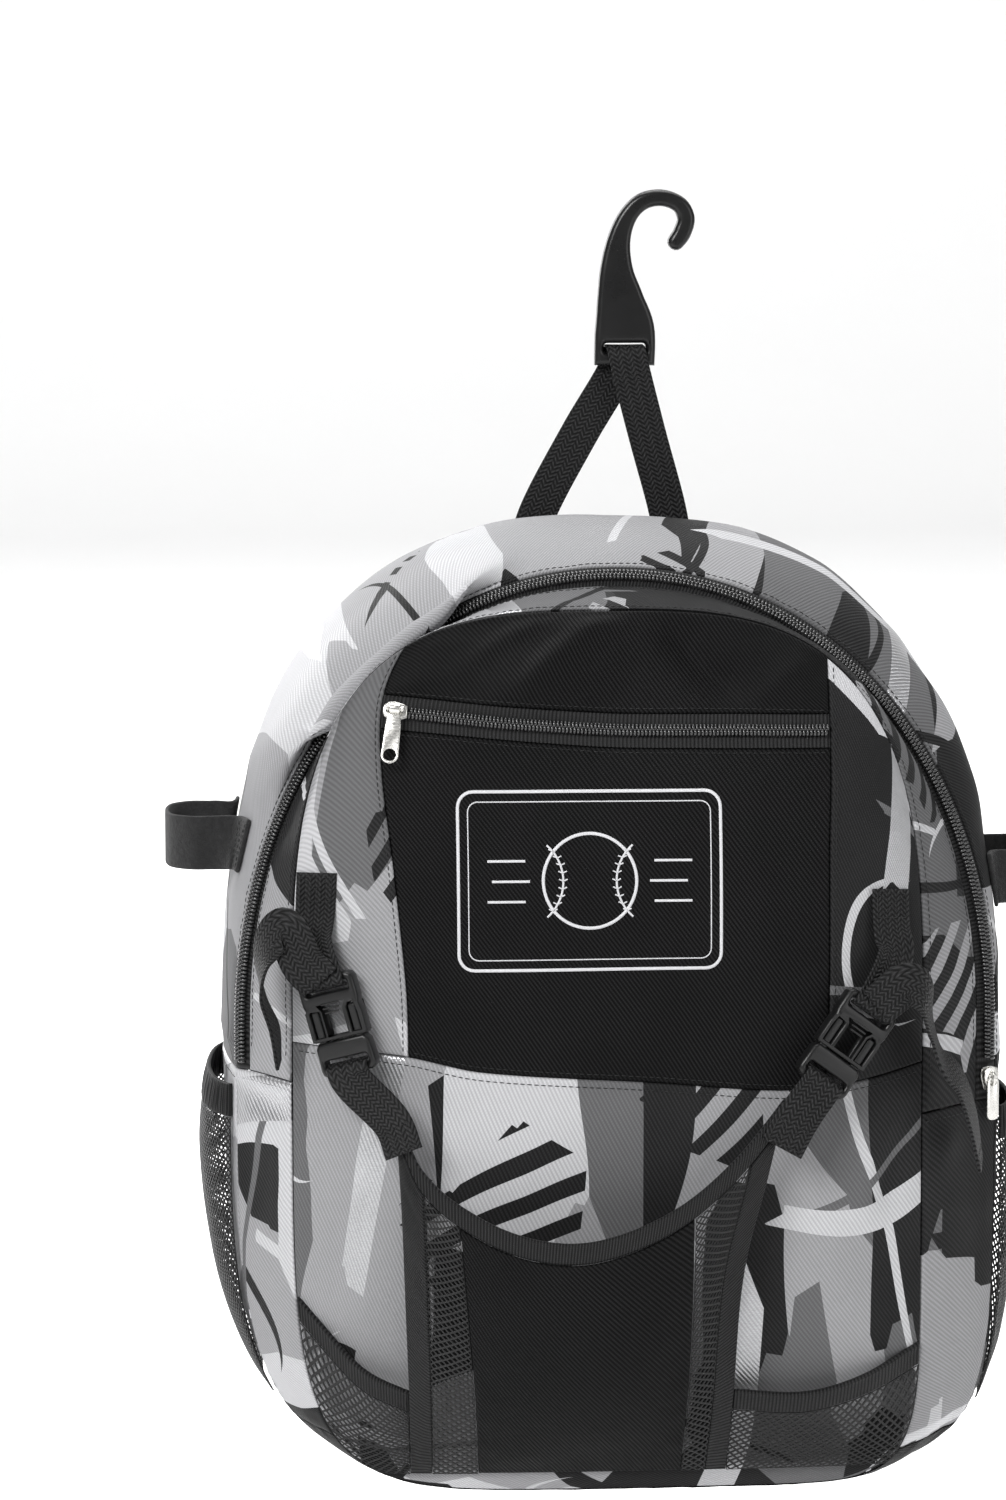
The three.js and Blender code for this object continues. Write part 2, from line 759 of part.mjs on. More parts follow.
// Panels of the pocket face
function pocketFace() {
  const zipTop = shifted(zipLine, pocketTapeWidth / 2);
  const zipBottom = shifted(zipLine, -pocketTapeWidth / 2);
  const topLeft = uprightMeetsEdge(seamLeft);
  const topRight = uprightMeetsEdge(seamRight);
  const lowLeft = levelMeetsEdge(seamLow, -1);
  const lowRight = levelMeetsEdge(seamLow, 1);
  const shoulder = rad(58);
  const corner = rad(cornerAngle);
  const topLeftPlace = alongRing(topLeft, topLeft)(0);
  const topRightPlace = alongRing(topRight, topRight)(0);
  const meetLeft = meeting(seamLeft, seamLow);
  const meetRight = meeting(seamRight, seamLow);
  const edgeLeft = alongRing(lowLeft, lowLeft)(0);
  const edgeRight = alongRing(lowRight, lowRight)(0);
  const top = { left: meeting(seamLeft, zipTop), right: meeting(seamRight, zipTop) };
  const low = { left: meeting(seamLeft, zipBottom), right: meeting(seamRight, zipBottom) };
  const panel = (name, edges, columns, rows, look) => {
    add(name, patchWall(faceSurface, edges, columns, rows, clothWall), look);
  };
  panel('face_left', {
    left: alongRing(lowLeft, -shoulder),
    top: alongRing(-shoulder, topLeft),
    right: alongUp(seamLeft, meetLeft.y, topLeftPlace.y),
    bottom: alongAcross(seamLow, edgeLeft.x, meetLeft.x),
  }, 7, 15, printed);
  panel('face_right', {
    left: alongUp(seamRight, meetRight.y, topRightPlace.y),
    top: alongRing(topRight, shoulder),
    right: alongRing(lowRight, shoulder),
    bottom: alongAcross(seamLow, meetRight.x, edgeRight.x),
  }, 6, 10, printed);
  panel('face_center_top', {
    left: alongUp(seamLeft, top.left.y, topLeftPlace.y),
    top: alongRing(topLeft, topRight),
    right: alongUp(seamRight, top.right.y, topRightPlace.y),
    bottom: alongAcross(zipTop, top.left.x, top.right.x),
  }, 20, 3, twill);
  panel('face_center', {
    left: alongUp(seamLeft, meetLeft.y, low.left.y),
    top: alongAcross(zipBottom, low.left.x, low.right.x),
    right: alongUp(seamRight, meetRight.y, low.right.y),
    bottom: alongAcross(seamLow, meetLeft.x, meetRight.x),
  }, 10, 10, twill);
  panel('face_lower', {
    left: alongRing(-corner, lowLeft),
    top: alongAcross(seamLow, edgeLeft.x, edgeRight.x),
    right: alongRing(corner, lowRight),
    bottom: alongRing(Math.PI * 2 - corner, corner),
  }, 14, 8, printed);
  panel('pocket_zip_tape', {
    left: alongUp(seamLeft, low.left.y, top.left.y),
    top: alongAcross(zipTop, top.left.x, top.right.x),
    right: alongUp(seamRight, low.right.y, top.right.y),
    bottom: alongAcross(zipBottom, low.left.x, low.right.x),
  }, 14, 1, coil);
}

// Pocket zip: coil, slider with its pin, and the pull tab that hangs on the pin and swings about it
function pocketZip() {
  const steps = 14;
  const leftEnd = meeting(seamLeft, zipLine).x + seamGap;
  const rightEnd = meeting(seamRight, zipLine).x - seamGap;
  const sliderX = leftEnd + sliderLength / 2 + restGap;
  const coilStart = sliderX + sliderLength / 2 + restGap;
  const stopAt = (x, off) => {
    const face = faceNormal(x, zipLine(x));
    return { point: facePoint(x, zipLine(x)).addScaledVector(face, off), face };
  };
  const route = [];
  for (let i = 0; i <= steps; i += 1) {
    route.push(stopAt(lerp(coilStart, rightEnd - restGap, i / steps), coilSeat + coilHeight / 2));
  }
  add('pocket_zip_coil', band(route, coilWidth, coilHeight, steps), coil);

  const seat = stopAt(sliderX, 0);
  const across = stopAt(sliderX + 1, 0).point.sub(stopAt(sliderX - 1, 0).point).normalize();
  const up = across.clone().cross(seat.face).negate().normalize();
  const place = new THREE.Matrix4().makeBasis(across, seat.face.clone().negate(), up);
  place.setPosition(seat.point);
  const box = (x, y, z) => new THREE.BoxGeometry(x, y, z);
  const bodyThickness = sliderThickness + coilHeight;
  const knuckle = sliderLength - 2 * lugWidth - 2 * pivotGap - lugInset;
  const eyeInner = pivotRadius + pivotGap;
  const eyeOuter = eyeInner + eyeWall;
  const pivotOff = restGap + bodyThickness + pivotGap + eyeOuter;
  const body = box(sliderLength, bodyThickness, sliderWidth).translate(0, -restGap - bodyThickness / 2, 0);
  const lugHeight = pivotOff - restGap - bodyThickness + pivotRadius + eyeWall;
  const lugPlace = knuckle / 2 + pivotGap + lugWidth / 2;
  const lugMiddle = restGap + bodyThickness + lugHeight / 2 - lugRoot;
  let slider = toManifold(body);
  for (const side of [-1, 1]) {
    const post = box(lugWidth, lugHeight, 2 * (pivotRadius + lugRim));
    slider = slider.add(toManifold(post.translate(side * lugPlace, -lugMiddle, 0)));
  }
  const rod = (radius, length, sides) => {
    return new THREE.CylinderGeometry(radius, radius, length, sides).rotateZ(rad(90));
  };
  slider = slider.add(toManifold(rod(pivotRadius, 2 * lugPlace, 12).translate(0, -pivotOff, 0)));
  add('pocket_slider', fromManifold(slider).applyMatrix4(place), nickel);

  const tabLength = pullLength - 2 * eyeOuter;
  const tabDepth = pullThickness / 2 - eyeOuter;
  const tabMiddle = -eyeOuter - lugRim - tabLength / 2;
  const hole = circleOutline(0, pullHole / 2 + pullRim - tabLength / 2, pullHole / 2, 12);
  const tab = plate(roundedOutline(pullWidth, tabLength, pullCorner), [hole], pullThickness);
  const neck = box(knuckle, pullThickness, 2 * eyeOuter + 1).translate(0, tabDepth, -eyeOuter);
  const pull = toManifold(rod(eyeOuter, knuckle, 16))
    .add(toManifold(neck))
    .add(toManifold(tab.translate(0, tabDepth, tabMiddle)))
    .subtract(toManifold(rod(eyeInner, knuckle + 2, 16)));
  add('pocket_pull', fromManifold(pull).translate(0, -pivotOff, 0).applyMatrix4(place), nickel);
}

function roundedOutline(width, height, radius) {
  const outline = [];
  const steps = 3;
  for (let corner = 0; corner < 4; corner += 1) {
    const sx = corner === 0 || corner === 3 ? 1 : -1;
    const sz = corner < 2 ? 1 : -1;
    const centre = new THREE.Vector2(sx * (width / 2 - radius), sz * (height / 2 - radius));
    for (let i = 0; i <= steps; i += 1) {
      const a = rad(90 * corner + (90 * i) / steps);
      outline.push(new THREE.Vector2(Math.cos(a), Math.sin(a)).multiplyScalar(radius).add(centre));
    }
  }
  return outline;
}

function circleOutline(x, z, radius, sides) {
  const outline = [];
  for (let i = 0; i < sides; i += 1) {
    const a = (-i / sides) * Math.PI * 2;
    outline.push(new THREE.Vector2(x + radius * Math.cos(a), z + radius * Math.sin(a)));
  }
  return outline;
}

const pouchSideLeft = acrossAt(pouchLeft);
const pouchSideRight = acrossAt(pouchRight);
const pouchTop = upAt(pouchRim);

// How far the pouch stands off the face
function pouchLift(x, z) {
  const left = pouchSideLeft(z);
  const right = pouchSideRight(z);
  const u = (x - left) / (right - left);
  const v = THREE.MathUtils.clamp(((z - bagBottom) / bagHeight - pouchFoot) / pouchReach, 0, 1);
  const rise = Math.pow(Math.sin(rad(90) * Math.min(1, v / pouchBelly)), pouchRoundness);
  const upward = rise * (1 - pouchLean * smoothstep(v, pouchBelly, 1));
  const round = Math.pow(Math.max(0, Math.sin(Math.PI * u)), pouchRoundness);
  let share = pouchSideLift + (1 - pouchSideLift) * round;
  if (u < 0 || u > 1) {
    const { reach } = faceCoordinates(x, z);
    share = pouchSideLift * smoothstep(1 - reach, 0, pouchMargin);
  }
  return pouchSeat + bindingThickness + pouchBulge * upward * share;
}

function pouchPoint(x, z) {
  const p = facePoint(x, z);
  p.y -= pouchLift(x, z);
  return p;
}

const pouchSurface = {
  point: pouchPoint,
  normal: (x, z) => flatNormal(pouchPoint, x, z),
};

// Net panels, black middle and ribbed bindings of the glove pouch
function glovePouch() {
  const foot = upBag(pouchFoot);
  const rimLow = shifted(pouchTop, -bindingWidth);
  const leftIn = shifted(pouchSideLeft, bindingWidth);
  const rightIn = shifted(pouchSideRight, -bindingWidth);
  const middleLeft = acrossAt(centreLeft);
  const middleRight = acrossAt(centreRight);
  const bandLeft = upAt(leftBand);
  const bandRight = upAt(rightBand);
  const bandLeftLow = shifted(bandLeft, -bindingWidth);
  const bandRightLow = shifted(bandRight, -bindingWidth);
  const panel = (name, edges, columns, rows, thickness, look) => {
    add(name, patchWall(pouchSurface, edges, columns, rows, thickness), look);
  };
  const quadPanel = (name, upright, level, columns, rows, thickness, look) => {
    const a = meeting(upright[0], level[0]);
    const b = meeting(upright[1], level[0]);
    const c = meeting(upright[0], level[1]);
    const d = meeting(upright[1], level[1]);
    panel(name, {
      left: alongUp(upright[0], a.y, c.y),
      right: alongUp(upright[1], b.y, d.y),
      bottom: alongAcross(level[0], a.x, b.x),
      top: alongAcross(level[1], c.x, d.x),
    }, columns, rows, thickness, look);
  };
  const footLine = () => foot;
  quadPanel('pouch_center', [middleLeft, middleRight], [footLine, rimLow], 7, 8, clothWall, twill);
  quadPanel('pouch_mesh_left', [leftIn, middleLeft], [footLine, rimLow], 2, 8, netWall, net);
  quadPanel('pouch_mesh_right', [middleRight, rightIn], [footLine, rimLow], 2, 8, netWall, net);
  const ribbed = (name, upright, level, columns, rows) => {
    quadPanel(name, upright, level, columns, rows, bindingThickness, binding);
  };
  ribbed('pouch_rim', [pouchSideLeft, pouchSideRight], [rimLow, pouchTop], 16, 1);
  ribbed('pouch_binding_left', [pouchSideLeft, leftIn], [footLine, rimLow], 1, 8);
  ribbed('pouch_binding_right', [rightIn, pouchSideRight], [footLine, rimLow], 1, 8);

  const edge = (level, side) => {
    const angle = levelMeetsEdge(level, side);
    return { angle, place: alongRing(angle, angle)(0) };
  };
  const netBand = (side, level, levelLow, upright) => {
    const name = side < 0 ? 'left' : 'right';
    const high = edge(level, side);
    const low = edge(levelLow, side);
    const base = edge(footLine, side);
    const meetHigh = meeting(upright, level);
    const meetLow = meeting(upright, levelLow);
    const meetFoot = new THREE.Vector2(upright(foot), foot);
    const outerBinding = alongRing(low.angle, high.angle);
    const innerBinding = alongUp(upright, meetLow.y, meetHigh.y);
    panel(`band_binding_${name}`, {
      left: side < 0 ? outerBinding : innerBinding,
      right: side < 0 ? innerBinding : outerBinding,
      bottom: side < 0 ? alongAcross(levelLow, low.place.x, meetLow.x)
        : alongAcross(levelLow, meetLow.x, low.place.x),
      top: side < 0 ? alongAcross(level, high.place.x, meetHigh.x)
        : alongAcross(level, meetHigh.x, high.place.x),
    }, 6, 1, bindingThickness, binding);
    const outerNet = alongRing(base.angle, low.angle);
    const innerNet = alongUp(upright, meetFoot.y, meetLow.y);
    panel(`band_mesh_${name}`, {
      left: side < 0 ? outerNet : innerNet,
      right: side < 0 ? innerNet : outerNet,
      bottom: side < 0 ? straight(base.place, meetFoot) : straight(meetFoot, base.place),
      top: side < 0 ? alongAcross(levelLow, low.place.x, meetLow.x)
        : alongAcross(levelLow, meetLow.x, low.place.x),
    }, 6, 4, netWall, net);
  };
  netBand(-1, bandLeft, bandLeftLow, pouchSideLeft);
  netBand(1, bandRight, bandRightLow, pouchSideRight);
}

// Side pockets of net with an elastic hem
function sidePocket(name, fromAngle, side) {
  const fromRing = 0.35;
  const toRing = zipOuterRing - 0.25;
  const lowAngle = cornerAngle - 3;
  const surface = (degrees, t) => {
    const angle = rad(degrees * side);
    const u = (t - fromRing) / (toRing - fromRing);
    const v = (degrees - fromAngle) / (lowAngle - fromAngle);
    const swell = Math.pow(Math.max(0, Math.sin(Math.PI * u)), 0.7);
    const fullness = swell * (1 - sidePocketTaper * v * v) * smoothstep(v, -sidePocketEase, sidePocketEase);
    const lift = restGap + elasticWall + sidePocketLift * fullness;
    return skinPoint(angle, t).addScaledVector(skinNormal(angle, t), lift);
  };
  const normal = (degrees, t) => {
    const turn = surface(degrees + 0.6, t).sub(surface(degrees - 0.6, t)).multiplyScalar(side);
    const step = surface(degrees, t + ringStep).sub(surface(degrees, t - ringStep));
    return step.cross(turn).normalize();
  };
  const hemAngle = fromAngle + THREE.MathUtils.radToDeg(elasticHeight / halfWidth);
  const piece = (part, from, to, columns, rows, thickness, look) => {
    const at = (u, v) => {
      const degrees = lerp(from, to, side > 0 ? v : 1 - v);
      const t = lerp(fromRing, toRing, u);
      return { point: surface(degrees, t), normal: normal(degrees, t) };
    };
    add(`${part}_${name}`, wall(at, columns, rows, thickness), look);
  };
  const gapTurn = THREE.MathUtils.radToDeg((2 * seamGap) / halfWidth);
  piece('elastic', fromAngle, hemAngle, 8, 1, elasticWall, binding);
  piece('side_mesh', hemAngle + gapTurn, lowAngle, 8, 6, netWall, net);
}

// Outline of the fence hook along its middle line: shares of its height, widths as shares of its base
const hookSpine = [
  { across: -0.215, up: -0.93, width: 0.98 },
  { across: -0.213, up: -0.72, width: 0.97 },
  { across: -0.24, up: -0.54, width: 0.76 },
  { across: -0.262, up: -0.37, width: 0.54 },
  { across: -0.25, up: -0.2, width: 0.38 },
  { across: -0.2, up: -0.06, width: 0.3 },
  { across: -0.115, up: 0.03, width: 0.28 },
  { across: 0.0, up: 0.054, width: 0.27 },
  { across: 0.105, up: 0.015, width: 0.27 },
  { across: 0.147, up: -0.065, width: 0.28 },
  { across: 0.125, up: -0.15, width: 0.29 },
  { across: 0.088, up: -0.205, width: 0.27 },
];

function fenceHook() {
  const places = hookSpine.map((row) => new THREE.Vector2(row.across, row.up).multiplyScalar(hookHeight));
  const spine = new THREE.SplineCurve(places);
  const widths = hookSpine.map((row, index) => ({ index, width: row.width * hookBaseWidth }));
  const last = hookSpine.length - 1;
  const steps = 20;
  const leftSide = [];
  const rightSide = [];
  for (let i = 0; i <= steps; i += 1) {
    const s = i / steps;
    const p = spine.getPoint(s);
    const d = spine.getTangent(s);
    const width = fromTable(widths, 'index', 'width', s * last);
    const side = new THREE.Vector2(-d.y, d.x).multiplyScalar(width / 2);
    leftSide.push(p.clone().add(side));
    rightSide.push(p.clone().sub(side));
  }
  const tip = spine.getPoint(1);
  const tipEnd = tip.clone().addScaledVector(spine.getTangent(1), 0.35 * widths[last].width);
  const outline = [...rightSide, tipEnd, ...leftSide.reverse()];
  const slotX = hookSpine[0].across * hookHeight;
  const slotZ = hookSpine[0].up * hookHeight + hookBarHeight + hookSlotHeight / 2;
  const slot = roundedOutline(hookSlotWidth, hookSlotHeight, hookSlotCorner)
    .map((p) => p.add(new THREE.Vector2(slotX, slotZ))).reverse();
  add('fence_hook', plate(outline, [slot], hookThickness, hookBevel), plastic);
  return { x: slotX, z: slotZ };
}

// Webbing that runs through the hook's slot and down to the bag on both legs
function hookStrap(slot) {
  const off = hookThickness / 2 + restGap + hookWebbingWall / 2;
  const foot = upBag(hookFoot);
  const backOff = restGap + hookWebbingWall / 2;
  const front = new THREE.Vector3(0, -1, 0);
  const back = new THREE.Vector3(0, 1, 0);
  const frontLeg = acrossBag(hookLegs.right);
  const backLeg = acrossBag(hookLegs.left);
  const under = slot.z - hookSlotHeight / 2 - hookBarHeight;
  const stop = (x, y, z, face) => ({ point: new THREE.Vector3(x, y, z), face });
  const arc = hookSlotHeight / 2 - hookSlotEase;
  const route = [
    stop(frontLeg, backOff, foot, front),
    stop(lerp(frontLeg, slot.x, 0.12), backOff, bagTop - 2, front),
    stop(lerp(frontLeg, slot.x, 0.55), -off * 0.5, lerp(bagTop, under, 0.52), front),
    stop(slot.x + 2.5, -off, under - 1, front),
    stop(slot.x + 0.8, -off, slot.z - arc, front),
    stop(slot.x, 0, slot.z + hookSlotHeight / 2 - hookWebbingWall, new THREE.Vector3(0, 0, 1)),
    stop(slot.x - 0.8, off, slot.z - arc, back),
    stop(slot.x - 2.5, off, under - 1, back),
    stop(lerp(backLeg, slot.x, 0.55), off * 0.75, lerp(bagTop, under, 0.52), back),
    stop(lerp(backLeg, slot.x, 0.12), backOff, bagTop - 2, back),
    stop(backLeg, backOff, foot, back),
  ];
  add('hook_webbing', band(route, hookWebbing, hookWebbingWall, 32), webbing);
}

// Side release buckle of two pieces in its own frame: +Z towards the socket's webbing
function buckleParts() {
  const socketOutline = roundedOutline(buckleWidth, socketLength, 3.5);
  const windowWidth = 4.6;
  const windowLength = socketLength * 0.52;
  const windowX = buckleWidth / 2 - windowWidth / 2 - 2.6;
  const windowZ = -socketLength / 2 + windowLength / 2;
  const slotZ = socketLength / 2 - buckleBar - buckleSlot / 2;
  const shell = toManifold(plate(socketOutline, [], buckleThickness, buckleBevel));
  const cutter = (x, z, width, length) => {
    const tool = new THREE.BoxGeometry(width, buckleThickness * 2, length);
    return toManifold(tool.translate(x, 0, z));
  };
  let socket = shell.subtract(cutter(0, slotZ, buckleWebbing + 1, buckleSlot));
  for (const side of [-1, 1]) {
    socket = socket.subtract(cutter(side * windowX, windowZ - 0.5, windowWidth, windowLength + 1));
  }
  const prongCentre = -socketLength / 2 - buckleGap - prongBase / 2;
  const prongOutline = roundedOutline(buckleWidth - 1, prongBase, 2.5);
  const block = plate(prongOutline, [], buckleThickness, buckleBevel);
  const base = toManifold(block.translate(0, 0, prongCentre));
  const prongSlot = prongCentre - prongBase / 2 + buckleBar + buckleSlot / 2;
  let prong = base.subtract(cutter(0, prongSlot, buckleWebbing + 1, buckleSlot));
  const armWidth = windowWidth - 2 * buckleGap;
  const armLength = Math.min(prongReach, windowLength - buckleGap);
  for (const side of [-1, 1]) {
    const arm = new THREE.BoxGeometry(armWidth, buckleThickness * 0.6, armLength + 1)
      .translate(side * windowX, 0, -socketLength / 2 - buckleGap + armLength / 2 - 0.5);
    prong = prong.add(toManifold(arm));
  }
  return { socket, prong, slotTop: slotZ, slotBottom: prongSlot };
}

// One compression strap: webbing from the face's seam, buckle, webbing to the pouch, and a loose tail
function buckledStrap(name, plan) {
  const parts = buckleParts();
  const middle = onFace(plan.buckle.across, plan.buckle.up, buckleThickness / 2 + plan.buckle.off);
  const lean = new THREE.Vector3(plan.buckle.leanX, 0, plan.buckle.leanZ).normalize();
  const up = lean.addScaledVector(middle.face, -lean.dot(middle.face)).normalize();
  const across = up.clone().cross(middle.face).normalize();
  const place = new THREE.Matrix4().makeBasis(across, middle.face.clone().negate(), up);
  place.setPosition(middle.point);
  add(`buckle_socket_${name}`, fromManifold(parts.socket).applyMatrix4(place), plastic);
  add(`buckle_prong_${name}`, fromManifold(parts.prong).applyMatrix4(place), plastic);

  const local = (z, out) => new THREE.Vector3(0, -out, z).applyMatrix4(place);
  const face = middle.face;
  const over = buckleThickness / 2 + restGap + buckleWebbingWall / 2;
  const lap = buckleWebbingWall;
  const rest = restGap + buckleWebbingWall / 2;
  const upper = plan.upper.map((row) => onFace(row.across, row.up, rest + row.off));
  const barTop = parts.slotTop + buckleSlot / 2;
  upper.push({ point: local(barTop + buckleBar + 2, over * 0.9), face });
  upper.push({ point: local(barTop, over), face });
  upper.push({ point: local(parts.slotTop, lap), face: up });
  add(`strap_upper_${name}`, band(upper, buckleWebbing, buckleWebbingWall, 18), webbing);

  const barLow = parts.slotBottom - buckleSlot / 2;
  const lower = [
    { point: local(parts.slotBottom, lap), face: up.clone().negate() },
    { point: local(barLow, over), face },
    { point: local(barLow - buckleBar - 2, over * 0.9), face },
  ];
  for (const row of plan.lower) {
    const x = acrossBag(row.across);
    const z = upBag(row.up);
    const normal = pouchSurface.normal(x, z);
    lower.push({ point: pouchPoint(x, z).addScaledVector(normal, rest + row.off), face: normal });
  }
  add(`strap_lower_${name}`, band(lower, buckleWebbing, buckleWebbingWall, 14), webbing);

  const tail = [{
    point: local(barTop + buckleBar / 2, over + buckleWebbingWall + restGap),
    face,
  }, ...plan.tail.map((row) => ({
    point: new THREE.Vector3(acrossBag(row.across), -row.depth * bagDepth, upBag(row.up)),
    face: new THREE.Vector3(row.faceX, row.faceY, row.faceZ),
  }))];
  add(`strap_tail_${name}`, band(tail, buckleWebbing, buckleWebbingWall, 16), webbing);
}

const leftStrap = {
  buckle: { across: -0.707, up: 0.531, leanX: -0.32, leanZ: 1, off: 4 },
  upper: [
    { across: -0.76, up: 0.662, off: 0 },
    { across: -0.762, up: 0.62, off: 1 },
    { across: -0.755, up: 0.594, off: 6 },
  ],
  lower: [
    { across: -0.575, up: 0.415, off: 2 },
    { across: -0.55, up: 0.385, off: 1.2 },
  ],
  tail: [
    { across: -0.8, up: 0.575, depth: 1.01, faceX: -0.3, faceY: -1, faceZ: 0.2 },
    { across: -0.85, up: 0.612, depth: 1.0, faceX: -0.6, faceY: -1, faceZ: 0.3 },
    { across: -0.9, up: 0.585, depth: 0.96, faceX: -1, faceY: -0.4, faceZ: 0 },
    { across: -0.902, up: 0.54, depth: 0.95, faceX: -1, faceY: 0.1, faceZ: 0 },
    { across: -0.872, up: 0.505, depth: 0.955, faceX: -1, faceY: 0.2, faceZ: 0 },
    { across: -0.862, up: 0.468, depth: 0.95, faceX: -1, faceY: 0.1, faceZ: 0 },
  ],
};

const rightStrap = {
  buckle: { across: 0.566, up: 0.502, leanX: 0.68, leanZ: 0.9, off: 4 },
  upper: [
    { across: 0.672, up: 0.64, off: 0 },
    { across: 0.668, up: 0.6, off: 2 },
    { across: 0.668, up: 0.575, off: 5 },
  ],
  lower: [
    { across: 0.42, up: 0.415, off: 3.4 },
    { across: 0.38, up: 0.385, off: 3.6 },
  ],
  tail: [
    { across: 0.7, up: 0.55, depth: 1.05, faceX: 0.2, faceY: -1, faceZ: 0.2 },
    { across: 0.745, up: 0.54, depth: 1.035, faceX: 0.8, faceY: -0.6, faceZ: 0.2 },
    { across: 0.77, up: 0.5, depth: 0.985, faceX: 1, faceY: -0.2, faceZ: 0.1 },
    { across: 0.8, up: 0.465, depth: 0.975, faceX: 1, faceY: -0.25, faceZ: 0.3 },
    { across: 0.85, up: 0.44, depth: 0.95, faceX: 1, faceY: -0.35, faceZ: 0.3 },
    { across: 0.885, up: 0.4, depth: 0.93, faceX: 1, faceY: -0.3, faceZ: 0.1 },
    { across: 0.91, up: 0.35, depth: 0.91, faceX: 1, faceY: -0.2, faceZ: 0.1 },
  ],
};

// Loop of hook and loop webbing that holds a bat at the side
function batStrap(name, side, up, reach) {
  const z = upBag(up);
  const back = bagDepth * batLoopBack;
  const front = back + batLoopDepth;
  const sew = 12;
  const round = 9;
  const rootAt = (depth, off) => {
    const t = ringAtDepth(side, z, depth);
    const angle = side * ringAngleAt(z, t, side);
    const face = skinNormal(angle, t);
    return { point: skinPoint(angle, t).addScaledVector(face, off + restGap + batStrapWall / 2), face };
  };
  const roots = [back, front].map((depth) => side * (rootAt(depth, 0).point.x - bagOffset));
  const widest = Math.max(...roots);
  const out = bagOffset + side * (widest + reach);
  const stop = (x, depth, faceX, faceY) => ({
    point: new THREE.Vector3(x, -depth, z),
    face: new THREE.Vector3(faceX, faceY, 0),
  });
  const near = bagOffset + side * (widest + round);
  const route = [
    rootAt(back - sew, 0),
    rootAt(back - 2, 0.6),
    stop(near, back + 1, 0.3 * side, 1),
    stop(out - side * round, back + 1, 0.2 * side, 1),
    stop(out, back + round, side, 0.2),
    stop(out, front - round, side, -0.2),
    stop(out - side * round, front - 1, 0.2 * side, -1),
    stop(near, front - 1, 0.3 * side, -1),
    rootAt(front + 2, 0.6),
    rootAt(front + sew, 0),
  ];
  add(`bat_strap_${name}`, band(route, batStrapWidth, batStrapWall, 28), webbing);
}

// Fractional ring that lies at a depth on one side at a height
function ringAtDepth(side, z, depth) {
  let low = 0;
  let high = foldRing;
  const tries = 24;
  for (let i = 0; i < tries; i += 1) {
    const mid = (low + high) / 2;
    if (-ringPoint(side * ringAngleAt(z, mid, side), mid).y < depth) {
      low = mid;
    } else {
      high = mid;
    }
  }
  return low;
}

// Angle from the top at which a ring passes a height
function ringAngleAt(z, t, side) {
  let low = 0;
  let high = Math.PI;
  const tries = 30;
  for (let i = 0; i < tries; i += 1) {
    const mid = (low + high) / 2;
    if (ringPoint(side * mid, t).z > z) {
      low = mid;
    } else {
      high = mid;
    }
  }
  return low;
}

// Padded carrying strap on the back, its webbing and its ladder adjuster
function carryingStrap(name, side) {
  const x = (spread) => bagOffset + side * padSpread * spread;
  const top = upBag(padTop);
  const seat = restGap + padThickness / 2;
  const out = new THREE.Vector3(0, 1, 0);
  const stop = (across, y, z, fy, fz) => ({
    point: new THREE.Vector3(across, y, z),
    face: new THREE.Vector3(0, fy, fz),
  });
  const low = top - padLength;
  const pad = [
    stop(x(0.85), seat, top, 1, 0),
    stop(x(0.9), seat + 4, top - padLength * 0.07, 1, 0.5),
    stop(x(1.05), padBow * 0.75, top - padLength * 0.25, 1, 0.5),
    stop(x(1.3), padBow, top - padLength * 0.5, 1, 0),
    stop(x(1.7), padBow * 0.8, top - padLength * 0.77, 1, -0.3),
    stop(x(2.1), padBow * 0.5, low, 1, -0.4),
  ];
  add(`shoulder_pad_${name}`, band(pad, padWidth, padThickness, 14), twill);

  const padEnd = pad[pad.length - 1].point;
  const curve = new THREE.CatmullRomCurve3(pad.map((s) => s.point), false, 'centripetal');
  const down = curve.getTangent(1);
  const across = down.clone().cross(out).normalize();
  const facing = across.clone().cross(down).normalize();
  const place = new THREE.Matrix4().makeBasis(across, facing, down.clone().negate());
  place.setPosition(padEnd.clone().addScaledVector(down, restGap + adjusterHeight / 2));
  const slotAt = (z) => roundedOutline(shoulderWebbing + 1, adjusterSlot, 1)
    .map((p) => p.add(new THREE.Vector2(0, z))).reverse();
  const slots = [slotAt(-adjusterSpacing), slotAt(adjusterSpacing)];
  const adjuster = plate(roundedOutline(shoulderWebbing + 9, adjusterHeight, 3), slots, adjusterWall);
  add(`adjuster_${name}`, adjuster.applyMatrix4(place), plastic);

  const foot = new THREE.Vector3(acrossBag(side * strapFoot.across), restGap + 1, upBag(strapFoot.up));
  const under = padEnd.clone().addScaledVector(down, restGap + adjusterHeight - 1);
  const lap = adjusterWall / 2 + restGap + buckleWebbingWall / 2;
  const strap = [
    { point: under.clone().addScaledVector(facing, lap).addScaledVector(down, -strapLap), face: facing },
    { point: under.clone().addScaledVector(facing, lap).addScaledVector(down, 2), face: facing },
    { point: under.clone().lerp(foot, 0.5).add(new THREE.Vector3(0, -strapSag, 0)), face: out },
    { point: foot.clone().add(new THREE.Vector3(-side * strapLean, strapSag / 2, strapRise)), face: out },
    { point: foot, face: out },
  ];
  add(`shoulder_webbing_${name}`, band(strap, shoulderWebbing, buckleWebbingWall, 14), webbing);
}

backPanel();
walls();
mainZip();
pocketFace();
pocketZip();
glovePouch();
buckledStrap('left', leftStrap);
buckledStrap('right', rightStrap);
sidePocket('left', 97, -1);
sidePocket('right', 101, 1);
batStrap('left', -1, 0.67, batLoopReach);
batStrap('right', 1, 0.625, batLoopReach * 0.8);
hookStrap(fenceHook());
carryingStrap('left', -1);
carryingStrap('right', 1);

export default group;
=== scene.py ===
import math

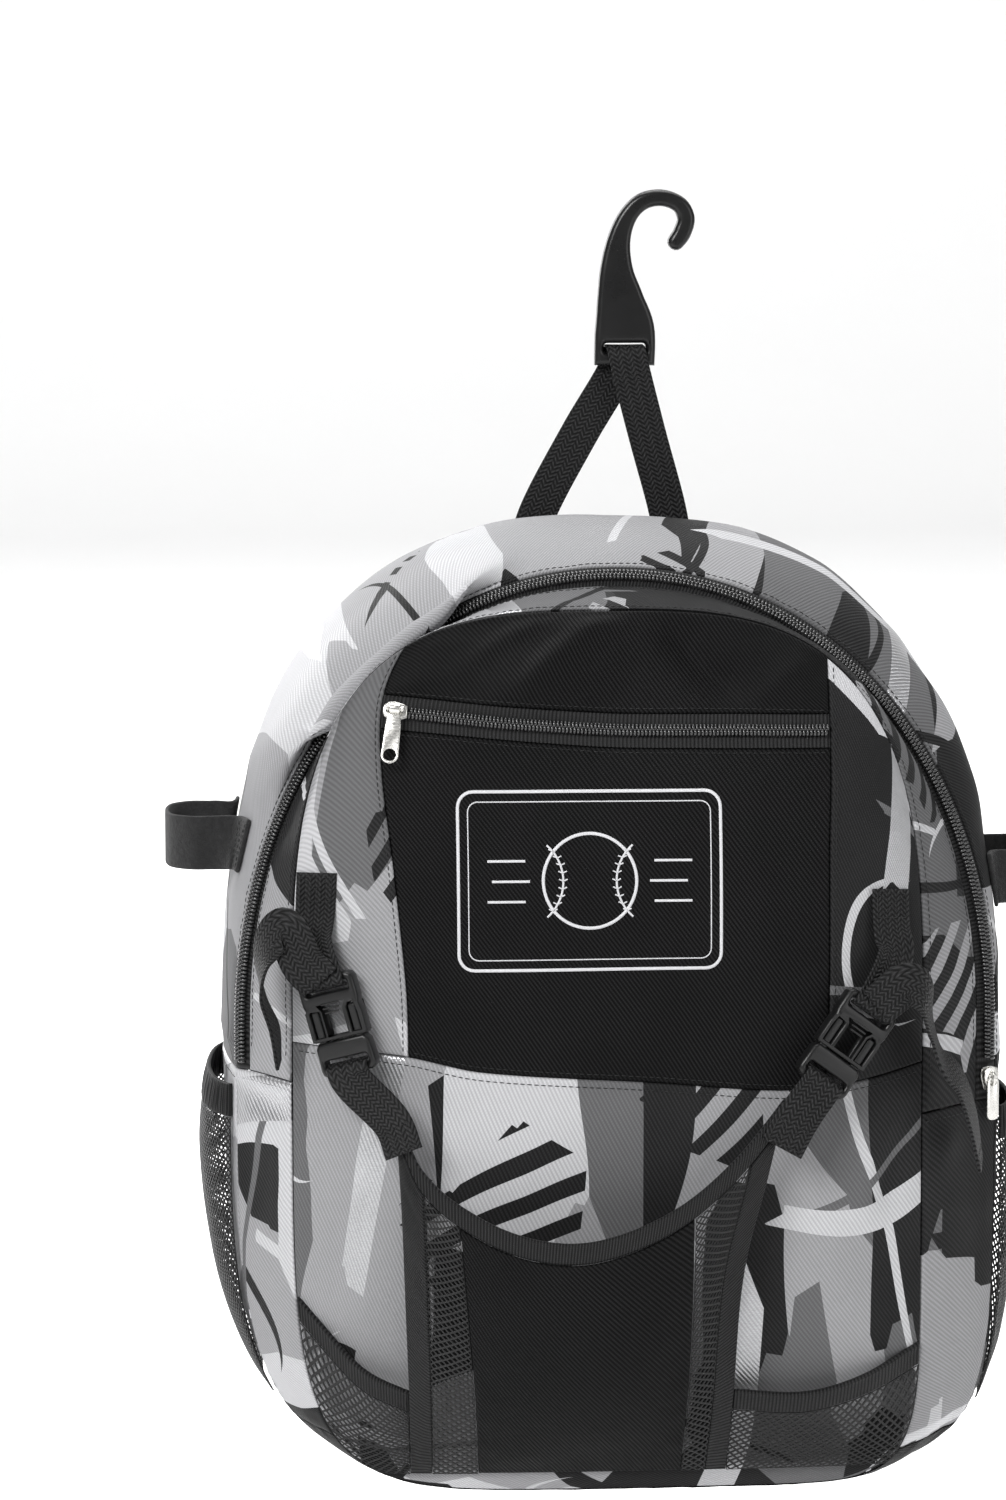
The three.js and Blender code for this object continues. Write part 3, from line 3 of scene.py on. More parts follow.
import bmesh
import bpy
import numpy as np
from mathutils import Matrix, Vector


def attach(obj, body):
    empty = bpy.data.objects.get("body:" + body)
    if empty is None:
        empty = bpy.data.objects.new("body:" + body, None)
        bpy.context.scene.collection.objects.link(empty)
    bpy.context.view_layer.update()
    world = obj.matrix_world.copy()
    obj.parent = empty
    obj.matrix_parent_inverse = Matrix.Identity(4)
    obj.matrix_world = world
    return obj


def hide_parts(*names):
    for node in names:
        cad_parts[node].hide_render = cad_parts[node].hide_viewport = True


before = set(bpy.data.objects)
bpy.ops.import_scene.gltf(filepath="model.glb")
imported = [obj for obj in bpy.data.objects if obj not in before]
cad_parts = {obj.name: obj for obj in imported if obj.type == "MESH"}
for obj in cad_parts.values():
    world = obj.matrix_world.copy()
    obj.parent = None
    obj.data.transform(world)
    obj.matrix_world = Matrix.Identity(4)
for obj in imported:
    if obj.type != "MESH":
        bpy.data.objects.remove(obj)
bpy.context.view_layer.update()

# Lengths are in millimetres until a mesh is made
MM = 0.001
TAU = 2 * math.pi

# Sizes of the bag, as in its solids
BAG_WIDTH, BAG_HEIGHT, BAG_DEPTH = 360.0, 438.0, 178.0
HANG_DROP, BAG_OFFSET, RING_CENTRE = 142.0, -32.0, 0.484
CLOTH, NET_WALL, SEAM_GAP, EDGE_INSET, REST_GAP = 1.6, 1.0, 0.42, 0.5, 0.35
BACK_PAD = 8.0
COIL_HEIGHT = 2.0
FOLD_FORWARD, FOLD_INWARD, FOLD_RING, FOLD_SPAN = 30.0, 13.0, 4, 0.9
ZIP_LEFT, ZIP_RIGHT = -95.0, 100.0
CORNER, CROWDING = 135.0, 0.15
POCKET_TAPE = 15.0
SLIDER_LENGTH, SLIDER_THICKNESS = 11.0, 2.0
PULL_LENGTH, PULL_WIDTH, PULL_THICKNESS, PULL_HOLE = 27.0, 8.0, 1.6, 5.6
PIVOT, PIVOT_GAP, EYE_WALL = 1.1, 0.35, 1.0
POUCH_BULGE, BINDING_WIDTH, BINDING, POUCH_SEAT = 40.0, 10.0, 2.4, 0.4
POUCH_REACH, POUCH_BELLY, POUCH_LEAN, POUCH_ROUND = 0.4, 0.55, 0.25, 0.8
POUCH_SIDE, POUCH_MARGIN, POUCH_FOOT = 0.42, 0.24, 0.03
WEBBING, WEBBING_WALL = 20.0, 1.5
HOOK_WEBBING, HOOK_WEBBING_WALL = 18.0, 1.5
BAT_STRAP, BAT_STRAP_WALL = 25.0, 2.0
SHOULDER_WEBBING = 25.0
POCKET_LIFT, POCKET_TAPER, POCKET_EASE = 11.0, 0.75, 0.3
ELASTIC_HEIGHT, ELASTIC = 13.0, 1.8
BUCKLE_WIDTH, BUCKLE, SOCKET_LENGTH = 28.0, 8.0, 29.0
PRONG_BASE, PRONG_REACH, BUCKLE_BAR, BUCKLE_SLOT, BUCKLE_GAP = 16.0, 15.0, 3.6, 4.0, 0.4
HOOK_HEIGHT, HOOK_BASE, HOOK_THICKNESS = 80.0, 29.0, 8.0
HOOK_SLOT_WIDTH, HOOK_SLOT_HEIGHT, HOOK_BAR = 20.0, 4.6, 6.0
LOOP_REACH, LOOP_DEPTH, LOOP_BACK = 28.0, 50.0, 0.22
PAD_WIDTH, PAD_THICKNESS, PAD_SPREAD, PAD_BOW, PAD_LENGTH, PAD_TOP = 62.0, 10.0, 48.0, 52.0, 250.0, 0.93
ADJUSTER_HEIGHT, ADJUSTER = 34.0, 4.0
HALF_WIDTH = BAG_WIDTH / 2
BAG_TOP = -HANG_DROP
BAG_BOTTOM = BAG_TOP - BAG_HEIGHT
FACE_RING, ZIP_OUTER, ZIP_INNER = 8, 5, 6


def across_bag(share):
    return BAG_OFFSET + share * HALF_WIDTH


def up_bag(share):
    return BAG_BOTTOM + share * BAG_HEIGHT


# Rings of the skin from the back seam to the edge of the pocket face
RINGS = {
    "half": [0.935, 0.985, 1.0, 0.995, 0.985, 0.972, 0.93, 0.87, 0.8],
    "shift": [0.012, 0.012, 0.012, 0.012, 0.012, 0.01, 0.0, -0.012, -0.03],
    "rise": [0.497, 0.512, 0.516, 0.508, 0.495, 0.477, 0.459, 0.449, 0.441],
    "fall": [0.462, 0.474, 0.478, 0.479, 0.479, 0.479, 0.478, 0.477, 0.475],
    "top": [0.01, 0.09, 0.22, 0.36, 0.47, 0.545, 0.59, 0.665, 0.735],
    "side": [0.01, 0.13, 0.33, 0.5, 0.6, 0.665, 0.7, 0.775, 0.865],
    "base": [0.01, 0.14, 0.36, 0.54, 0.63, 0.7, 0.76, 0.83, 0.9],
    "up": [2.5, 2.5, 2.5, 2.45, 2.3, 2.1, 2.15, 2.6, 3.2],
    "left": [3.9, 3.9, 4.0, 4.1, 4.2, 4.4, 4.6, 4.8, 5.0],
    "right": [5.5, 5.8, 6.0, 6.2, 6.4, 6.8, 7.2, 8.0, 9.0],
}
PLUMP = ([0.0, 0.12, 0.32, 0.52, 0.7, 0.84, 0.93], [0.955, 0.985, 1.0, 0.99, 0.955, 0.885, 0.8])
# From across, from up, to across, to up, width, how far it stands out
FACE_FOLDS = [
    (0.02, 0.925, -0.3, 0.845, 0.05, 0.032),
    (0.12, 0.9, 0.3, 0.845, 0.045, -0.018),
    (-0.62, 0.8, -0.7, 0.55, 0.05, 0.016),
    (0.62, 0.72, 0.57, 0.5, 0.05, 0.016),
    (-0.35, 0.74, 0.2, 0.52, 0.12, -0.014),
]
# Sharp creases: from across, from up, to across, to up, width, how far each stands out in millimetres
CREASES = [
    (0.04, 0.93, -0.3, 0.83, 7.0, 4.2),
    (-0.06, 0.93, -0.42, 0.86, 5.0, 2.2),
    (0.13, 0.91, 0.32, 0.84, 8.0, -4.2),
    (0.5, 0.87, 0.36, 0.83, 5.0, 1.5),
    (-0.99, 0.72, -0.72, 0.86, 7.0, 2.4),
    (-0.9, 0.66, -0.66, 0.87, 6.0, -2.6),
    (-0.62, 0.95, -0.36, 0.995, 7.0, 2.2),
    (-1.0, 0.473, -0.73, 0.447, 6.0, 2.6),
    (-0.98, 0.44, -0.76, 0.405, 5.0, -2.0),
    (-0.75, 0.41, -0.83, 0.28, 6.0, 3.0),
    (-0.66, 0.36, -0.72, 0.22, 8.0, -2.6),
    (0.72, 0.44, 0.6, 0.3, 7.0, 2.8),
    (0.74, 0.38, 0.68, 0.3, 8.0, -3.0),
    (0.95, 0.45, 0.8, 0.33, 6.0, 2.2),
    (0.86, 0.86, 0.98, 0.68, 7.0, 1.8),
    (-0.5, 0.6, -0.42, 0.5, 6.0, 1.6),
    (0.3, 0.72, 0.44, 0.55, 9.0, 1.2),
]
# Upright lines: heights, places across
SEAM_LEFT = ([0.42, 0.53, 0.6, 0.68, 0.77, 0.84, 0.89, 0.93],
             [-0.54, -0.542, -0.556, -0.576, -0.6, -0.592, -0.535, -0.455])
SEAM_RIGHT = ([0.42, 0.51, 0.68, 0.77, 0.88], [0.5, 0.515, 0.519, 0.528, 0.527])
POUCH_LEFT = ([0.127, 0.224, 0.33, 0.43], [-0.545, -0.556, -0.566, -0.58])
POUCH_RIGHT = ([0.126, 0.22, 0.28, 0.354, 0.435], [0.275, 0.283, 0.303, 0.352, 0.4])
CENTRE_LEFT = ([0.02, 0.18, 0.335], [-0.36, -0.395, -0.43])
CENTRE_RIGHT = ([0.02, 0.175, 0.335], [0.15, 0.157, 0.162])
# Level lines: places across, heights
SEAM_LOW = ([-0.83, -0.55, -0.36, 0.07, 0.4, 0.57, 0.78], [0.485, 0.476, 0.46, 0.447, 0.436, 0.441, 0.456])
POCKET_ZIP = ([-0.6, -0.38, -0.05, 0.2, 0.54], [0.826, 0.817, 0.806, 0.804, 0.802])
POUCH_RIM = ([-0.58, -0.52, -0.38, -0.22, -0.07, 0.12, 0.27, 0.4],
             [0.43, 0.37, 0.326, 0.304, 0.305, 0.333, 0.378, 0.435])
LEFT_BAND = ([-0.83, -0.76, -0.66, -0.545], [0.222, 0.19, 0.149, 0.127])
RIGHT_BAND = ([0.275, 0.45, 0.6, 0.76], [0.126, 0.12, 0.134, 0.158])


def smoothstep(x, low, high):
    f = np.clip((x - low) / (high - low), 0, 1)
    return f * f * (3 - 2 * f)


def lerp(a, b, f):
    return a + (b - a) * f


def from_table(keys, values, x):
    """Smooth curve through a table's rows, carried on straight past its ends."""
    keys, values, x = np.asarray(keys, float), np.asarray(values, float), np.asarray(x, float)
    last = len(keys) - 1
    above = np.minimum(np.arange(last + 1) + 1, last)
    below = np.maximum(np.arange(last + 1) - 1, 0)
    slope = (values[above] - values[below]) / (keys[above] - keys[below])
    i = np.clip(np.searchsorted(keys, x, side="left") - 1, 0, last - 1)
    span = keys[i + 1] - keys[i]
    f = (x - keys[i]) / span
    h = np.clip(f, 0, 1)
    g = 1 - h
    inside = values[i] * (1 + 2 * h) * g * g + slope[i] * span * h * g * g
    inside = inside + values[i + 1] * (3 - 2 * h) * h * h - slope[i + 1] * span * g * h * h
    return inside + slope[i] * np.minimum(f, 0) * span + slope[i + 1] * np.maximum(f - 1, 0) * span


def ring_column(name, t):
    return from_table(range(9), RINGS[name], t)


def upright(table):
    return lambda z: across_bag(from_table(table[0], table[1], (np.asarray(z) - BAG_BOTTOM) / BAG_HEIGHT))


def level(table):
    return lambda x: up_bag(from_table(table[0], table[1], (np.asarray(x) - BAG_OFFSET) / HALF_WIDTH))


def moved(line, by):
    return lambda value: line(value) + by


def roundness(angle, t):
    below = np.where(np.sin(angle) < 0, ring_column("left", t), ring_column("right", t))
    return np.where(np.cos(angle) >= 0, ring_column("up", t), below)


def fold_weight(angle):
    degrees = np.degrees(angle)
    return smoothstep(degrees, -64, -46) * (1 - smoothstep(degrees, -30, -13))


def ring_point(angle, t):
    angle, t = np.broadcast_arrays(np.asarray(angle, float), np.asarray(t, float))
    s, c = np.sin(angle), np.cos(angle)
    n = roundness(angle, t)
    reach = 1 / np.power(np.power(np.abs(s), n) + np.power(np.abs(c), n), 1 / n)
    roll = fold_weight(angle) * np.maximum(0, 1 - np.abs(t - FOLD_RING) / FOLD_SPAN)
    inward = FOLD_INWARD * roll ** 2
    width = ring_column("half", t) * HALF_WIDTH - inward
    height = np.where(c >= 0, ring_column("rise", t), ring_column("fall", t)) * BAG_HEIGHT - inward
    end = np.where(c >= 0, ring_column("top", t), ring_column("base", t))
    depth = lerp(ring_column("side", t), end, c * c) * BAG_DEPTH + FOLD_FORWARD * roll ** 0.7
    x = across_bag(ring_column("shift", t)) + width * reach * s
    return np.stack([x, -depth, up_bag(RING_CENTRE) + height * reach * c], -1)


def crowded(turn):
    return np.where(np.cos(turn) < 0, turn + CROWDING * np.sin(4 * turn), turn)


def even_turn(angle):
    turn = angle
    for _ in range(20):
        turn = turn + (angle - crowded(turn)) * 0.6
    return turn


def angle_between(a, b, share):
    return crowded(lerp(even_turn(a), even_turn(b), share))


def face_coordinates(x, z):
    x, z = np.asarray(x, float), np.asarray(z, float)
    across = (x - across_bag(ring_column("shift", FACE_RING))) / (ring_column("half", FACE_RING) * HALF_WIDTH)
    rise = z - up_bag(RING_CENTRE)
    tall = np.where(rise >= 0, ring_column("rise", FACE_RING), ring_column("fall", FACE_RING)) * BAG_HEIGHT
    along = rise / tall
    angle = np.arctan2(across, along)
    n = roundness(angle, FACE_RING)
    reach = np.power(np.power(np.abs(across), n) + np.power(np.abs(along), n), 1 / n)
    return angle, reach


def folds_at(x, z):
    out = 0
    for fx, fz, tx, tz, width, height in FACE_FOLDS:
        a = np.array([across_bag(fx), up_bag(fz)])
        run = np.array([across_bag(tx), up_bag(tz)]) - a
        along = np.clip(((x - a[0]) * run[0] + (z - a[1]) * run[1]) / (run @ run), 0, 1)
        far = np.hypot(x - a[0] - along * run[0], z - a[1] - along * run[1]) / (width * BAG_HEIGHT)
        out = out + height * BAG_DEPTH * np.exp(-far * far)
    return out


def creases_at(p):
    """How far the sharp creases lift a place on the front half of the bag."""
    x, z = p[..., 0], p[..., 2]
    out = 0
    for fx, fz, tx, tz, width, height in CREASES:
        a = np.array([across_bag(fx), up_bag(fz)])
        run = np.array([across_bag(tx), up_bag(tz)]) - a
        along = ((x - a[0]) * run[0] + (z - a[1]) * run[1]) / (run @ run)
        bend = 4 * np.sin(math.pi * np.clip(along, 0, 1))
        far = ((x - a[0]) * run[1] - (z - a[1]) * run[0]) / np.linalg.norm(run) - bend
        fade = smoothstep(along, -0.15, 0.3) * (1 - smoothstep(along, 0.7, 1.15))
        out = out + height * np.exp(-np.abs(far / width) ** 1.5) * fade
    return out * smoothstep(-p[..., 1], 0.2 * BAG_DEPTH, 0.4 * BAG_DEPTH)


def face_point(x, z):
    x, z = np.broadcast_arrays(np.asarray(x, float), np.asarray(z, float))
    angle, reach = face_coordinates(x, z)
    edge = -ring_point(angle, FACE_RING)[..., 1]
    middle = from_table(PLUMP[0], PLUMP[1], (z - BAG_BOTTOM) / BAG_HEIGHT) * BAG_DEPTH
    plump = 1 - np.power(np.minimum(reach, 1), 4)
    depth = lerp(edge, middle, plump) + folds_at(x, z) * np.minimum(1, plump * 2)
    return np.stack([x, -depth, z], -1)


def skin_point(angle, t):
    angle, t = np.broadcast_arrays(np.asarray(angle, float), np.asarray(t, float))
    on_rings = ring_point(angle, np.clip(t, 0, FACE_RING))
    edge = ring_point(angle, float(FACE_RING))
    share = 1 - (t - FACE_RING)
    mx, mz = across_bag(ring_column("shift", FACE_RING)), up_bag(RING_CENTRE)
    on_face = face_point(lerp(mx, edge[..., 0], share), lerp(mz, edge[..., 2], share))
    return np.where((t <= FACE_RING)[..., None], on_rings, on_face)


def unit(v):
    return v / np.maximum(np.linalg.norm(v, axis=-1, keepdims=True), 1e-9)


def skin_normal(angle, t):
    angle, t = np.broadcast_arrays(np.asarray(angle, float), np.asarray(t, float))
    turn = skin_point(angle + 0.012, t) - skin_point(angle - 0.012, t)
    after = np.where(t >= FACE_RING, 0.02, 0.06)
    before = np.where(t > FACE_RING, 0.02, 0.06)
    step = skin_point(angle, t + after) - skin_point(angle, np.maximum(t - before, 0))
    return unit(np.cross(step, turn))


def flat_normal(surface, x, z):
    right = surface(x + 1.5, z) - surface(x - 1.5, z)
    up = surface(x, z + 1.5) - surface(x, z - 1.5)
    return unit(np.cross(right, up))


def face_normal(x, z):
    angle, reach = face_coordinates(x, z)
    near = skin_normal(angle, FACE_RING + 1 - np.minimum(reach, 1))
    return np.where((reach < 0.6)[..., None], flat_normal(face_point, x, z), near)


def pouch_point(x, z):
    left, right = upright(POUCH_LEFT)(z), upright(POUCH_RIGHT)(z)
    u = (x - left) / (right - left)
    v = np.clip(((z - BAG_BOTTOM) / BAG_HEIGHT - POUCH_FOOT) / POUCH_REACH, 0, 1)
    rise = np.power(np.sin(math.pi / 2 * np.minimum(1, v / POUCH_BELLY)), POUCH_ROUND)
    upward = rise * (1 - POUCH_LEAN * smoothstep(v, POUCH_BELLY, 1))
    bow = np.power(np.maximum(0, np.sin(math.pi * np.clip(u, 0, 1))), POUCH_ROUND)
    reach = face_coordinates(x, z)[1]
    outside = POUCH_SIDE * smoothstep(1 - reach, 0, POUCH_MARGIN)
    share = np.where((u < 0) | (u > 1), outside, POUCH_SIDE + (1 - POUCH_SIDE) * bow)
    p = face_point(x, z)
    p[..., 1] -= POUCH_SEAT + BINDING + POUCH_BULGE * upward * share
    return p


def pouch_normal(x, z):
    return flat_normal(pouch_point, x, z)


# Smooth noise from -1 to 1, the same at each run
def lattice(i, seed):
    h = i[..., 0] * 374761393 + i[..., 1] * 668265263 + i[..., 2] * 2246822519 + seed * 3266489917
    h = (h ^ (h >> 13)) * 1274126177 & 0xFFFFFFFF
    h = (h ^ (h >> 16)) & 0xFFFFFFFF
    return h / 2147483648.0 - 1


def noise(p, scale, seed=0):
    q = np.asarray(p, float) / np.asarray(scale, float)
    i = np.floor(q).astype(np.int64)
    f = q - i
    f = f * f * (3 - 2 * f)
    total = 0
    for a in (0, 1):
        for b in (0, 1):
            for c in (0, 1):
                w = (f[..., 0] if a else 1 - f[..., 0]) * (f[..., 1] if b else 1 - f[..., 1])
                w = w * (f[..., 2] if c else 1 - f[..., 2])
                total = total + w * lattice(i + np.array([a, b, c]), seed)
    return total


# Materials
def node(tree, kind, ins=None, **props):
    n = tree.nodes.new("ShaderNode" + kind)
    for k, v in props.items():
        setattr(n, k, v)
    for k, v in (ins or {}).items():
        if isinstance(v, bpy.types.NodeSocket):
            tree.links.new(v, n.inputs[k])
        else:
            n.inputs[k].default_value = v
    return n


class Look:
    """A material with short names for its nodes."""

    def __init__(self, name, **principled):
        self.mat = bpy.data.materials.new(name)
        self.mat.use_nodes = True
        self.tree = self.mat.node_tree
        self.shader = self.tree.nodes["Principled BSDF"]
        for k, v in principled.items():
            self.shader.inputs[k.replace("_", " ")].default_value = v
        cloth = node(self.tree, "Attribute", attribute_name="cloth")
        self.cloth = cloth.outputs["Vector"]
        place = node(self.tree, "TexCoord")
        self.place = place.outputs["Object"]
        parts = node(self.tree, "SeparateXYZ", {"Vector": self.cloth})
        self.s, self.t, self.tone = parts.outputs

    def math(self, operation, a, b=0.0, c=0.0, clamp=False):
        n = node(self.tree, "Math", {0: a, 1: b, 2: c}, operation=operation, use_clamp=clamp)
        return n.outputs[0]

    def mix(self, factor, a, b):
        return node(self.tree, "Mix", {0: factor, 6: a, 7: b}, data_type="RGBA").outputs[2]

    def ramp(self, factor, stops, interpolation="LINEAR"):
        n = node(self.tree, "ValToRGB", {"Fac": factor})
        n.color_ramp.interpolation = interpolation
        while len(n.color_ramp.elements) < len(stops):
            n.color_ramp.elements.new(0.5)
        for e, (place, colour) in zip(n.color_ramp.elements, stops):
            e.position = place
            e.color = colour if len(colour) == 4 else (*colour, 1)
        return n.outputs["Color"]

    def noise(self, vector, scale, detail=2.0, rough=0.5):
        ins = {"Vector": vector, "Scale": scale, "Detail": detail, "Roughness": rough}
        return node(self.tree, "TexNoise", ins).outputs["Fac"]

    def mapped(self, vector, rotation=0.0, scale=(1, 1, 1), shift=(0, 0, 0)):
        n = node(self.tree, "Mapping", {"Vector": vector, "Location": shift,
                                        "Rotation": (0, 0, rotation), "Scale": scale})
        return n.outputs["Vector"]

    def channels(self, colour):
        return node(self.tree, "SeparateColor", {"Color": colour}).outputs

    def wave(self, along, pitch):
        """A sine from 0 to 1 along a coordinate in metres."""
        phase = self.math("MULTIPLY", along, TAU / pitch)
        return self.math("MULTIPLY_ADD", self.math("SINE", phase), 0.5, 0.5)

    def colour(self, value):
        self.tree.links.new(value, self.shader.inputs["Base Color"])

    def rough(self, value):
        self.tree.links.new(value, self.shader.inputs["Roughness"])

    def metal(self, value):
        self.tree.links.new(value, self.shader.inputs["Metallic"])

    def bump(self, height, distance, strength=1.0):
        n = node(self.tree, "Bump", {"Height": height, "Distance": distance, "Strength": strength})
        self.tree.links.new(n.outputs["Normal"], self.shader.inputs["Normal"])


def grey(v):
    return (v, v, v * 1.03, 1)


def weave_height(look, pitch):
    """Plain weave: threads that cross over and under each other."""
    a = look.wave(look.s, pitch)
    b = look.wave(look.t, pitch)
    half_a = look.wave(look.s, pitch * 2)
    half_b = look.wave(look.t, pitch * 2)
    over = look.math("GREATER_THAN", look.math("MULTIPLY", look.math("SUBTRACT", half_a, 0.5),
                                               look.math("SUBTRACT", half_b, 0.5)), 0.0)
    return look.mix(over, a, b)


def twill_height(look, pitch):
    """Twill weave: raised diagonal ribs, each a row of short threads."""
    diagonal = look.math("MULTIPLY_ADD", look.s, 0.8, look.math("MULTIPLY", look.t, 0.6))
    counter = look.math("MULTIPLY_ADD", look.s, -0.6, look.math("MULTIPLY", look.t, 0.8))
    ribs = look.wave(diagonal, pitch)
    threads = look.wave(counter, pitch * 0.55)
    return look.math("MULTIPLY", ribs, look.math("MULTIPLY_ADD", threads, 0.45, 0.55))


def printed_look():
    """Grey, black and white print of bent shards, slivers, strips and stripes, with silver bars."""
    black, dark, mid, light, white = grey(0.004), grey(0.024), grey(0.13), grey(0.34), grey(0.58)
    look = Look("printed_cloth", Roughness=0.6, Specular_IOR_Level=0.1)
    flat = node(look.tree, "CombineXYZ", {"X": look.s, "Y": look.t, "Z": 0.0}).outputs[0]
    bend = node(look.tree, "TexNoise", {"Vector": flat, "Scale": 6.0, "Detail": 1.0}).outputs["Color"]
    bend_by = (0.055, 0.055, 0)
    bent = node(look.tree, "VectorMath", {0: bend, 1: bend_by, 2: flat}, operation="MULTIPLY_ADD").outputs[0]

    def cells(rotation, scale, size, shift=(0, 0, 0), distance="CHEBYCHEV", vector=bent):
        place = look.mapped(vector, rotation, scale, shift)
        n = node(look.tree, "TexVoronoi", {"Vector": place, "Scale": 1 / size}, voronoi_dimensions="2D",
                 feature="F1", distance=distance)
        return look.channels(n.outputs["Color"]), n.outputs["Distance"]

    def over(base, mask, shade):
        return look.mix(mask, base, shade)

    def pick(value, stops):
        return look.ramp(value, stops, "CONSTANT")

    def above(value, limit):
        return look.math("GREATER_THAN", value, limit)

    def both(*masks):
        out = masks[0]
        for m in masks[1:]:
            out = look.math("MULTIPLY", out, m)
        return out

    # Two layers of shards
    main, _ = cells(0.5, (1.0, 0.5, 1), 0.052)
    share = look.math("ADD", main[0], look.tone, clamp=True)
    base = pick(share, [(0.0, black), (0.3, mid), (0.46, light), (0.95, white)])
    second, _ = cells(-0.75, (1.0, 0.38, 1), 0.046, (0.3, 0.1, 0), "MANHATTAN")
    lean = look.math("ADD", second[1], look.tone, clamp=True)
    tones = [(0.0, black), (0.36, dark), (0.44, mid), (0.62, light), (0.86, white)]
    base = over(base, above(second[0], 0.74), pick(lean, tones))
    # Slivers between two circles, one a little beside the other
    for size, shift, turn, limit, shade, edge in (
            (0.085, (0.0045, 0.0028, 0), 0.2, 0.55, black, 0.44),
            (0.07, (0.0026, -0.003, 0), 2.1, 0.78, white, 0.43)):
        colour, near = cells(turn, (1.0, 0.72, 1), size, (0.11, 0.23, 0), "EUCLIDEAN")
        _, beside = cells(turn, (1.0, 0.72, 1), size, (0.11 + shift[0], 0.23 + shift[1], 0), "EUCLIDEAN")
        inside = look.math("LESS_THAN", near, edge)
        base = over(base, both(inside, above(beside, edge), above(colour[0], limit)), shade)
    # Long strips, each cut off at the edges of its cells
    for turn, pitch, width, size, limit, shade in (
            (1.25, 0.097, 0.045, 0.08, 0.55, white), (-0.22, 0.083, 0.045, 0.07, 0.66, mid),
            (0.62, 0.11, 0.04, 0.09, 0.6, black), (0.1, 0.131, 0.08, 0.09, 0.72, white)):
        along = node(look.tree, "SeparateXYZ", {"Vector": look.mapped(bent, turn)}).outputs[1]
        line = look.math("LESS_THAN", look.math("FRACT", look.math("DIVIDE", along, pitch)), width)
        colour, _ = cells(turn, (0.6, 1.0, 1), size, (0.7, 0.4, 0))
        base = over(base, both(line, above(colour[2], limit)), shade)
    # Patches of even stripes
    across = node(look.tree, "SeparateXYZ", {"Vector": look.mapped(bent, -0.62)}).outputs[1]
    stripes = above(look.math("FRACT", look.math("MULTIPLY", across, 88.0)), 0.52)
    colour, _ = cells(-0.62, (1.0, 0.6, 1), 0.05, (0.31, 0.17, 0))
    base = over(base, both(stripes, above(colour[0], 0.945)), pick(colour[1], [(0.0, black), (0.5, light)]))
    # Silver bars with a brushed grain
    bar = node(look.tree, "SeparateXYZ", {"Vector": look.mapped(flat, 0.14)}).outputs[0]
    bar = look.math("LESS_THAN", look.math("FRACT", look.math("DIVIDE", bar, 0.168)), 0.085)
    colour, _ = cells(0.14, (1.0, 0.5, 1), 0.07, (0.2, 0.6, 0), vector=flat)
    silver = both(bar, above(colour[1], 0.45))
    grain = look.noise(look.mapped(flat, 0.14, (300, 2200, 1)), 1.0, 2.0)
    base = over(base, silver, look.mix(grain, grey(0.42), grey(0.72)))

    # Weave with painted shade in the valleys between its ribs, painted glints on its ribs, and soft rumples
    weave = twill_height(look, 0.0016)
    patchy = look.noise(look.place, 14.0, 3.0)
    # Painted shade: the weave's valleys are darkened towards black
    base = look.mix(look.math("MULTIPLY_ADD", weave, -0.34, 0.34), base, grey(0.008))
    # Painted glints: the weave's ribs are lightened towards grey, in random patches
    glint = look.math("MULTIPLY", weave, 0.06)
    glint = look.math("MULTIPLY", glint, look.math("MULTIPLY_ADD", patchy, 0.8, 0.4))
    base = look.mix(glint, base, grey(0.4))
    look.colour(look.mix(look.math("MULTIPLY", patchy, 0.07), base, grey(0.1)))
    look.metal(look.math("MULTIPLY", silver, 0.8))
    look.rough(look.math("MULTIPLY_ADD", silver, -0.27, 0.6))
    rumple = look.noise(look.place, 70.0, 3.0)
    look.bump(look.math("ADD", weave, look.math("MULTIPLY", rumple, 1.4)), 0.0003, 0.6)
    return look.mat


def twill_look(name, dark=0.001, light=0.016, pitch=0.0017):
    """Black twill: fine diagonal ribs of crossing threads, with painted highlights on the ribs and painted
    shade between them.
    """
    look = Look(name, Roughness=0.5, Specular_IOR_Level=0.06, Sheen_Weight=0.01, Sheen_Roughness=0.5)
    height = twill_height(look, pitch)
    patchy = look.noise(look.place, 22.0, 3.0)
    # Painted highlight and shade: the colour follows the rib height, lighter on the ribs and darker between
    # them, varied by random patches
    factor = look.math("MULTIPLY", height, look.math("MULTIPLY_ADD", patchy, 0.9, 0.5), clamp=True)
    look.colour(look.mix(factor, grey(dark), grey(light)))
    look.rough(look.math("MULTIPLY_ADD", patchy, 0.2, 0.42))
    rumple = look.noise(look.place, 55.0, 3.0)
    look.bump(look.math("ADD", height, look.math("MULTIPLY", rumple, 1.3)), 0.0004, 0.7)
    return look.mat


TAPE_SHINE = {"Roughness": 0.55, "Specular_IOR_Level": 0.16, "Sheen_Weight": 0.02, "Sheen_Roughness": 0.4}


def webbing_look():
    """Flat webbing: rows of plump threads that step over each other in chevrons, with painted highlights on
    the raised threads and painted shade between them.
    """
    look = Look("webbing", **TAPE_SHINE)
    lane = look.math("FRACT", look.math("MULTIPLY", look.t, 200.0))
    fold = look.math("ABSOLUTE", look.math("SUBTRACT", lane, 0.5))
    along = look.math("ADD", look.s, look.math("MULTIPLY", fold, 0.005))
    chevron = look.wave(along, 0.0024)
    lanes = look.wave(look.t, 0.0017)
    height = look.math("MULTIPLY", chevron, look.math("MULTIPLY_ADD", lanes, 0.6, 0.4))
    fuzz = look.noise(look.place, 900.0, 2.0)
    # Painted highlight and shade: the colour follows the thread height, lighter on the raised threads and
    # darker between them, varied by random fuzz
    factor = look.math("MULTIPLY", height, look.math("MULTIPLY_ADD", fuzz, 0.6, 0.7), clamp=True)
    look.colour(look.mix(factor, grey(0.001), grey(0.036)))
    look.bump(height, 0.0007, 0.9)
    return look.mat


